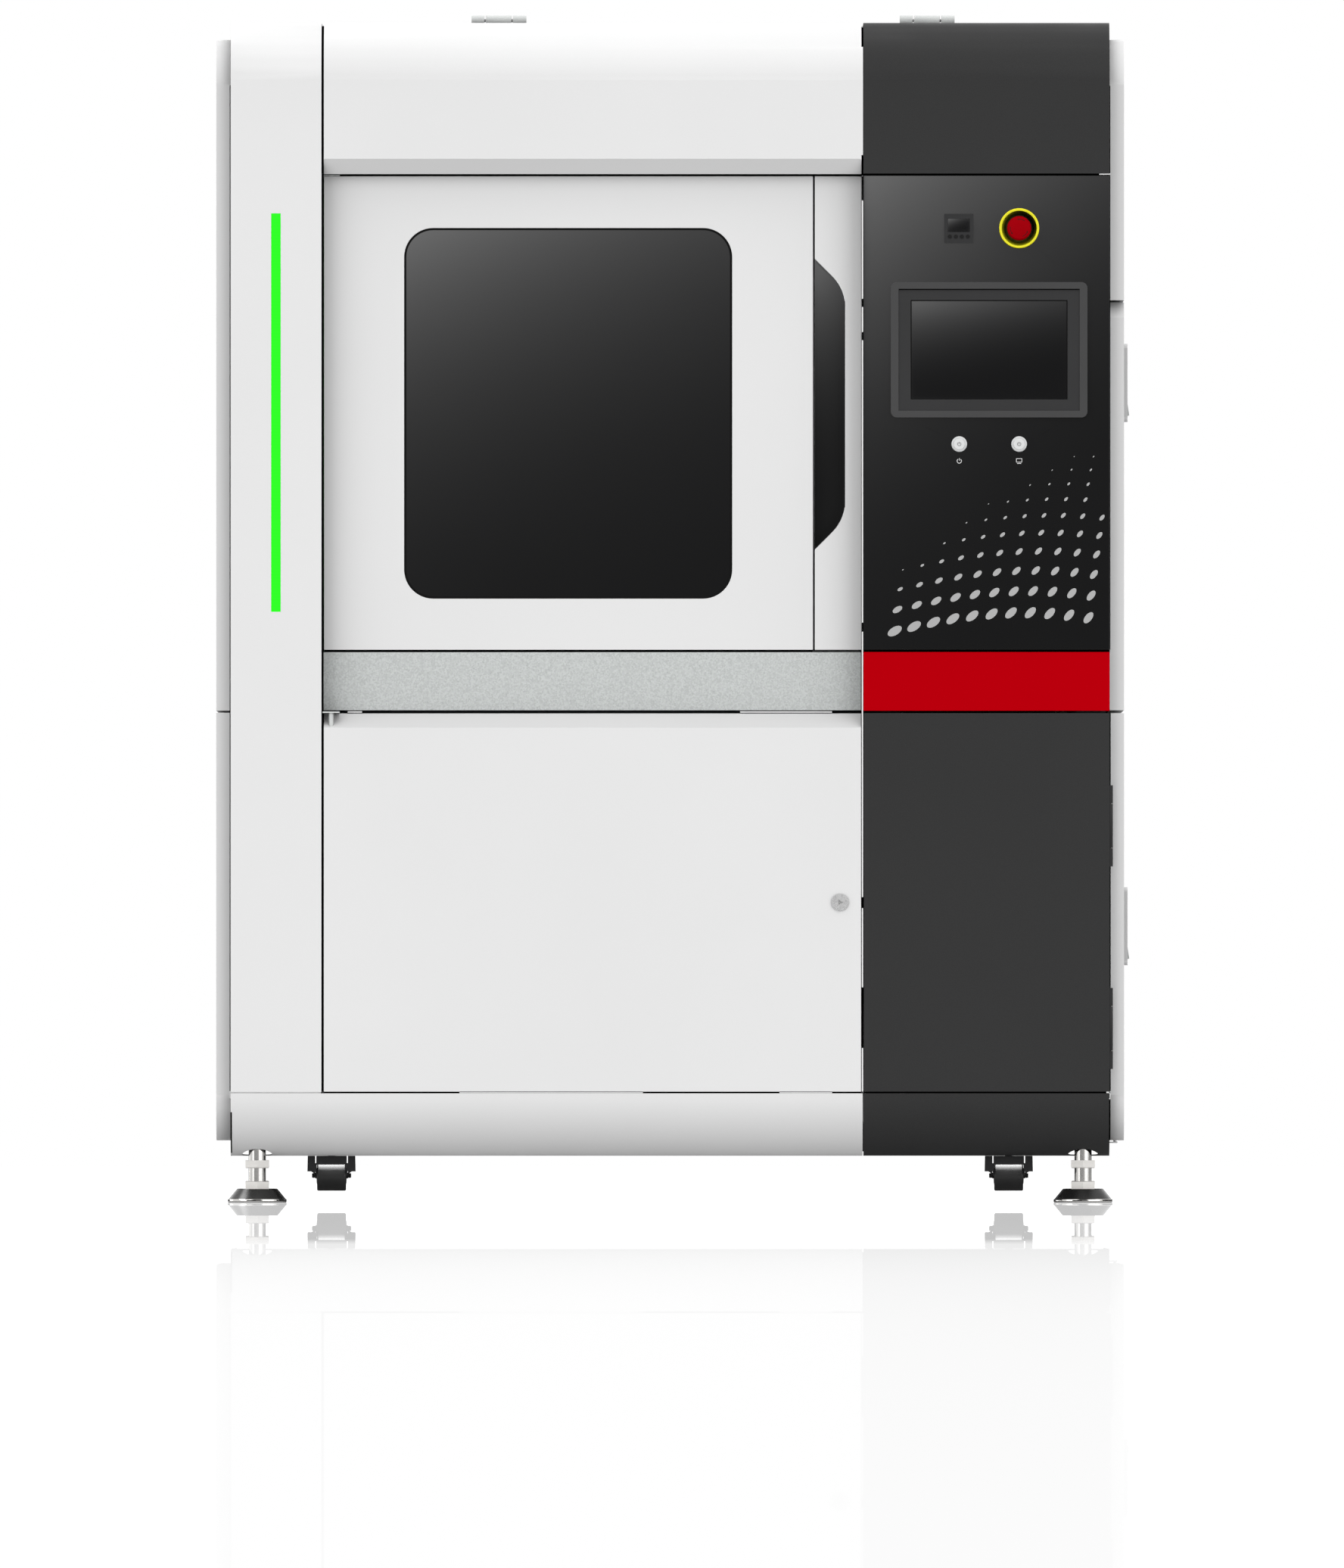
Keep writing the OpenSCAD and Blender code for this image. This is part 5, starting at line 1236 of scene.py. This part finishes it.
for nm, z0, z1, zl in (("side_door_upper", 925.0, 1490.0, 1403), ("side_door_lower", 205.0, 790.0, 505)):
    k = Kit()
    x = HW + 24 - 2.2
    k.band([(-520, z0 + 20), (540, z0 + 20), (540, z1 - 20), (-520, z1 - 20)], [(-500, z0 + 40), (520, z0 + 40), (520, z1 - 40), (-500, z1 - 40)], x - 5.0, x, "yz")
    for y in (-180, 180):
        k.box((x - 7.0, y - 12, z0 + 45), (x, y + 12, z1 - 45), 0.8)
    k.done(nm + "_foam", foam, nm, "dark_plastic", 35)

# castor plates' bolts
for i, (sx, sy) in enumerate(((-1, -1), (1, -1), (-1, 1), (1, 1)), 1):
    X, Y = sx * (565.8 if sy > 0 else 560.0), sy * 520.0
    k = Kit()
    for a in (-31, 31):
        for b in (-19, 19):
            k.cyl((X + a, Y + b, 77.2), 9.5, 3.3, "z", 6)
    k.done(f"castor_bolts_{i}", screw_steel, "cabinet", "castor_steel")

k = Kit()  # rear: fan guard in the exhaust port
for j in range(8):
    a = 2 * math.pi * j / 8 + math.pi / 8
    k.tube([(-128 + 16 * math.cos(a), 646.5, 1500 + 16 * math.sin(a)), (-128 + 74 * math.cos(a), 646.5, 1500 + 74 * math.sin(a))], 2.4, 8)
for r in (16, 34, 54, 74):
    k.tube([(-128 + r * math.cos(math.radians(t)), 646.5, 1500 + r * math.sin(math.radians(t))) for t in range(0, 361, 10)], 2.0, 8)
k.done("exhaust_guard", screw_steel, "cabinet", "bright_metal", 60)
# ------------------------------------------------------------------ end of the inside

# ------------------------------------------------------------------ floor, light and camera
CAM = P(3.1, FY, 691.0)
CAM.z = 0.100
AIM_Z = 0.691
FAR = 100.72


def plane(name, verts, mat):
    me = bpy.data.meshes.new(name)
    me.from_pydata(verts, [], [tuple(range(len(verts)))])
    me.materials.append(mat)
    ob = bpy.data.objects.new(name, me)
    bpy.context.scene.collection.objects.link(ob)
    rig.stage(ob)
    return ob


disc = [(140 * math.cos(math.radians(a * 4)), 140 * math.sin(math.radians(a * 4))) for a in range(90)]

# the floor that is seen: near white, faintly polished round the machine
k = Nodes("floor_pale")
k.nt.nodes.remove(k.bsdf)
em = k.n("ShaderNodeEmission")
em.inputs["Color"].default_value = (0.82, 0.82, 0.82, 1)
df = k.n("ShaderNodeBsdfDiffuse")
df.inputs["Color"].default_value = (0.158, 0.158, 0.158, 1)
add = k.n("ShaderNodeAddShader")
k.link(em.outputs[0], add.inputs[0])
k.link(df.outputs[0], add.inputs[1])
gl = k.n("ShaderNodeBsdfGlossy")
gl.inputs["Roughness"].default_value = 0.0
gl.inputs["Color"].default_value = (1, 1, 1, 1)
geo = k.n("ShaderNodeVectorMath", operation="LENGTH")
k.link(k.tc.outputs["Object"], geo.inputs[0])
dist = k.math("SUBTRACT", geo.outputs["Value"], 0.64)
dist = k.math("MINIMUM", k.math("MAXIMUM", dist, 0.0), 96.5)
# polish wears off with distance from the machine
worn = k.math("POWER", k.math("MULTIPLY", dist, 1.0 / 38.0), 2.0)
near = k.math("MULTIPLY", k.math("POWER", 2.718, k.math("MULTIPLY", worn, -1.0)), 0.44)
low = k.span(dist, 0.47, 0.0, 38.0, 43.0)
fade = k.math("MAXIMUM", k.math("ADD", near, 0.045), low)
fr = k.n("ShaderNodeFresnel")
fr.inputs["IOR"].default_value = 1.05
fac = k.math("MULTIPLY", fade, fr.outputs[0])
mx = k.n("ShaderNodeMixShader")
k.link(fac, mx.inputs[0])
k.link(add.outputs[0], mx.inputs[1])
k.link(gl.outputs[0], mx.inputs[2])
k.link(mx.outputs[0], k.out.inputs[0])
floor = plane("floor_seen", [(x, y, 0.0) for x, y in disc], k.mat)
floor.visible_diffuse = False
floor.visible_glossy = False
floor.visible_transmission = False
floor.visible_shadow = False

# what polished parts mirror of the floor
k = Nodes("floor_mirrored")
k.set(Base_Color=k.ramp(k.noise(0.5), [(0.3, (0.50, 0.50, 0.50)), (0.7, (0.51, 0.51, 0.51))]))
k.bsdf.inputs["Roughness"].default_value = 0.9
k.bsdf.inputs["Specular IOR Level"].default_value = 0.0
lower = plane("floor_under", [(x, y, -0.002) for x, y in disc], k.mat)
lower.visible_camera = False
lower.visible_diffuse = False
lower.visible_shadow = False

# soft box in the air: bright dome, calmer straight ahead
world = bpy.data.worlds.new("studio")
bpy.context.scene.world = world
world.use_nodes = True
nt = world.node_tree
nt.nodes.clear()
wout = nt.nodes.new("ShaderNodeOutputWorld")
seen = nt.nodes.new("ShaderNodeBackground")
seen.inputs["Color"].default_value = (1, 1, 1, 1)
dome = nt.nodes.new("ShaderNodeBackground")
wmix = nt.nodes.new("ShaderNodeMixShader")
lp = nt.nodes.new("ShaderNodeLightPath")
tc = nt.nodes.new("ShaderNodeTexCoord")
sp = nt.nodes.new("ShaderNodeSeparateXYZ")
nt.links.new(tc.outputs["Generated"], sp.inputs[0])
front = nt.nodes.new("ShaderNodeMapRange")
front.interpolation_type = "SMOOTHSTEP"
front.inputs["From Min"].default_value = -0.975
front.inputs["From Max"].default_value = -0.88
nt.links.new(sp.outputs["Y"], front.inputs["Value"])
tall = nt.nodes.new("ShaderNodeMapRange")
tall.inputs["From Min"].default_value = -1.0
tall.inputs["From Max"].default_value = 1.0
nt.links.new(sp.outputs["Z"], tall.inputs["Value"])
sky = nt.nodes.new("ShaderNodeValToRGB")
el = sky.color_ramp.elements
SKY = [(-1.0, 0.09), (-0.875, 0.211), (-0.625, 0.448), (-0.375, 1.043), (-0.125, 1.626), (0.1, 1.794), (0.3, 1.511), (0.5, 1.067), (0.7, 0.955), (0.9, 1.311), (1.0, 1.45)]
while len(el) < len(SKY):
    el.new(0.5)
for e, (h, v) in zip(el, SKY):
    e.position = h / 2 + 0.5
    e.color = (v / 2, v / 2, v / 2, 1)
nt.links.new(tall.outputs[0], sky.inputs["Fac"])
blend = nt.nodes.new("ShaderNodeMix")
blend.data_type = "FLOAT"
nt.links.new(front.outputs[0], blend.inputs[0])
blend.inputs[2].default_value = 0.12
twice = nt.nodes.new("ShaderNodeMath")
twice.operation = "MULTIPLY"
twice.inputs[1].default_value = 2.0
nt.links.new(sky.outputs["Color"], twice.inputs[0])
nt.links.new(twice.outputs[0], blend.inputs[3])


def wm(op, a, b=None, c=None):
    n = nt.nodes.new("ShaderNodeMath")
    n.operation = op
    for i, v in enumerate((a, b, c)):
        if v is None:
            continue
        if isinstance(v, (int, float)):
            n.inputs[i].default_value = v
        else:
            nt.links.new(v, n.inputs[i])
    return n.outputs[0]


# dark stands round the set, seen only by polished parts: upright black bands near the horizon
az = wm("MULTIPLY", wm("ARCTAN2", sp.outputs["X"], wm("MULTIPLY", sp.outputs["Y"], -1.0)), 180.0 / math.pi)
level = wm("LESS_THAN", wm("ABSOLUTE", sp.outputs["Z"]), 0.13)
band = None
for lo, hi in ((-175.0, -136.0), (-43.0, -5.0), (82.0, 175.0)):
    inside = wm("MULTIPLY", wm("GREATER_THAN", az, lo), wm("LESS_THAN", az, hi))
    band = inside if band is None else wm("MAXIMUM", band, inside)
stands = wm("MULTIPLY", wm("MULTIPLY", band, level), lp.outputs["Is Glossy Ray"])
# one lamp high at the left rear
aim = Vector((-0.487, 0.156, 0.859)).normalized()
dotp = nt.nodes.new("ShaderNodeVectorMath")
dotp.operation = "DOT_PRODUCT"
nt.links.new(tc.outputs["Generated"], dotp.inputs[0])
dotp.inputs[1].default_value = aim
lamp = nt.nodes.new("ShaderNodeMapRange")
lamp.interpolation_type = "SMOOTHSTEP"
lamp.inputs["From Min"].default_value = 0.965
lamp.inputs["From Max"].default_value = 1.0
lamp.inputs["To Min"].default_value = 0.0
lamp.inputs["To Max"].default_value = 9.0
nt.links.new(dotp.outputs["Value"], lamp.inputs["Value"])
lamp_on = wm("MULTIPLY", lamp.outputs[0], lp.outputs["Is Glossy Ray"])
# calmer light from both sides and, for everything but mirrors, from straight behind


def ease(value, lo, hi):
    n = nt.nodes.new("ShaderNodeMapRange")
    n.interpolation_type = "SMOOTHSTEP"
    n.inputs["From Min"].default_value = lo
    n.inputs["From Max"].default_value = hi
    nt.links.new(value, n.inputs["Value"])
    return n.outputs[0]


flank = wm("SUBTRACT", 1.0, wm("MULTIPLY", ease(wm("ABSOLUTE", sp.outputs["X"]), 0.86, 0.97), 0.60))
behind = wm("MULTIPLY", ease(sp.outputs["Y"], 0.86, 0.975), wm("SUBTRACT", 1.0, lp.outputs["Is Glossy Ray"]))
behind = wm("SUBTRACT", 1.0, wm("MULTIPLY", behind, 0.88))
level_all = wm("MULTIPLY", wm("MULTIPLY", blend.outputs[0], wm("MULTIPLY", flank, behind)), 1.035)
total = wm("ADD", wm("MULTIPLY", level_all, wm("SUBTRACT", 1.0, wm("MULTIPLY", stands, 0.985))), lamp_on)
nt.links.new(total, dome.inputs["Strength"])
dome.inputs["Color"].default_value = (1, 1, 1, 1)
nt.links.new(lp.outputs["Is Camera Ray"], wmix.inputs[0])
nt.links.new(dome.outputs[0], wmix.inputs[1])
nt.links.new(seen.outputs[0], wmix.inputs[2])
nt.links.new(wmix.outputs[0], wout.inputs[0])


def card(name, x0, x1, z0, z1, ahead, a, px0, py0, L, p, c0, c1, margin=0.02, strength=1.0):
    """Soft light card in front of a polished part: bright in one corner, fading across it."""
    m = 1.0 + ahead / FAR
    cam_x, cam_z = CAM.x, CAM.z
    k = Nodes(name + "_light")
    k.nt.nodes.remove(k.bsdf)
    sep = k.n("ShaderNodeSeparateXYZ")
    k.link(k.tc.outputs["Object"], sep.inputs[0])
    # picture place of the mirrored point, as a straight function of the card's own place
    kx = 1.0 / m * 800.0
    xo = (cam_x * (1 - 1 / m)) * 800.0 - SX / 1.25 + 885.5
    zo = 1589.0 - cam_z * (1 - 1 / m) * 800.0
    px_n = k.math("ADD", k.math("MULTIPLY", sep.outputs["X"], kx), xo - px0)
    py_n = k.math("ADD", k.math("MULTIPLY", sep.outputs["Z"], -kx), zo - py0)
    s = k.math("ADD", k.math("MULTIPLY", px_n, a), py_n)
    g = k.math("SUBTRACT", 1.0, k.math("MULTIPLY", s, 1.0 / L))
    g = k.math("MINIMUM", k.math("MAXIMUM", g, 0.0), 1.15)
    v = k.math("ADD", k.math("MULTIPLY", k.math("POWER", g, p), c1 / 255.0), c0 / 255.0)
    r = k.math("POWER", k.math("DIVIDE", k.math("ADD", v, 0.055), 1.055), 2.4)
    r = k.math("SUBTRACT", r, lin(c0))
    r = k.math("MULTIPLY", k.math("MAXIMUM", r, 0.0), strength / 0.04)
    r = k.math("ADD", r, 0.12)
    e = k.n("ShaderNodeEmission")
    k.link(r, e.inputs["Strength"])
    k.link(e.outputs[0], k.out.inputs[0])
    y = P(0, FY, 0).y - ahead
    pts = []
    for x, z in ((x0, z0), (x1, z0), (x1, z1), (x0, z1)):
        fx, fz = (x + SX) / 1000.0, z / 1000.0
        pts.append((cam_x + (fx - cam_x) * m, y, cam_z + (fz - cam_z) * m))
    ob = plane(name, pts, k.mat)
    ob.visible_camera = False
    ob.visible_diffuse = False
    ob.visible_shadow = False
    ob.visible_transmission = False
    return ob


card("card_window", -470, 135, 960, 1640, 1.80, 0.44, 560, 312, 890, 3.5, 28.8, 73.5)
card("card_panel", 319, 740, 900, 1712, 1.80, 0.76, 1146, 240, 760, 2.5, 30.3, 74.1)
card("card_screen", 397, 657, 1326, 1491, 1.40, 0.22, 1212, 404, 140, 2.5, 28.6, 61.6)
card("card_controller", 457, 497, 1600, 1627, 1.30, 0.42, 1256, 290, 17.5, 1.9, 29.0, 63.0)
card("card_pull", 232, 292, 1070, 1566, 1.80, 1.0, 1079, 360, 340, 2.5, 30.4, 64.9)

def bar(name, x, y0, y1, z, half, top_light):
    """Small glowing bar under the machine that only polished parts see, brightest at its rear edge."""
    k = Nodes(name + "_light")
    k.nt.nodes.remove(k.bsdf)
    sep = k.n("ShaderNodeSeparateXYZ")
    k.link(k.tc.outputs["Object"], sep.inputs[0])
    t = k.span(sep.outputs["Y"], 0.0, 1.0, P(0, y0, 0).y, P(0, y1, 0).y)
    e = k.n("ShaderNodeEmission")
    k.link(k.math("MULTIPLY", k.math("POWER", t, 1.6), top_light), e.inputs["Strength"])
    k.link(e.outputs[0], k.out.inputs[0])
    ob = plane(name, [P(x - half, y0, z), P(x + half, y0, z), P(x + half, y1, z), P(x - half, y1, z)], k.mat)
    ob.visible_camera = False
    ob.visible_diffuse = False
    ob.visible_shadow = False
    ob.visible_transmission = False
    return ob


for n_, x_ in (("bar_left", -560.0), ("bar_right", 560.0)):
    bar(n_, x_, -543.5, -512.0, 72.8, 24.0, 22.0)

c = bpy.data.cameras.new("camera")
c.type = "PERSP"
c.sensor_width = 36.0
c.lens = 1400.0
c.clip_start = 5.0
c.clip_end = 400.0
camera = bpy.data.objects.new("camera", c)
camera.location = (CAM.x, CAM.y - FAR, CAM.z)
camera.rotation_euler = (math.radians(90) + math.atan2(AIM_Z - CAM.z, FAR), 0, 0)
bpy.context.scene.collection.objects.link(camera)
bpy.context.scene.camera = camera

# the even, shadowed-only-by-shape light of the picture: no second bounce between the white walls
if hasattr(bpy.context.scene, "cycles"):
    bpy.context.scene.cycles.diffuse_bounces = 0

view = bpy.context.scene.view_settings
view.view_transform = "Standard"
view.look = "None"
view.exposure = 0.0
view.gamma = 1.0

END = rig.bounds()
with open("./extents.json", "w") as f:
    json.dump({"cad": [list(START[0]), list(START[1])], "visual": [list(END[0]), list(END[1])]}, f)
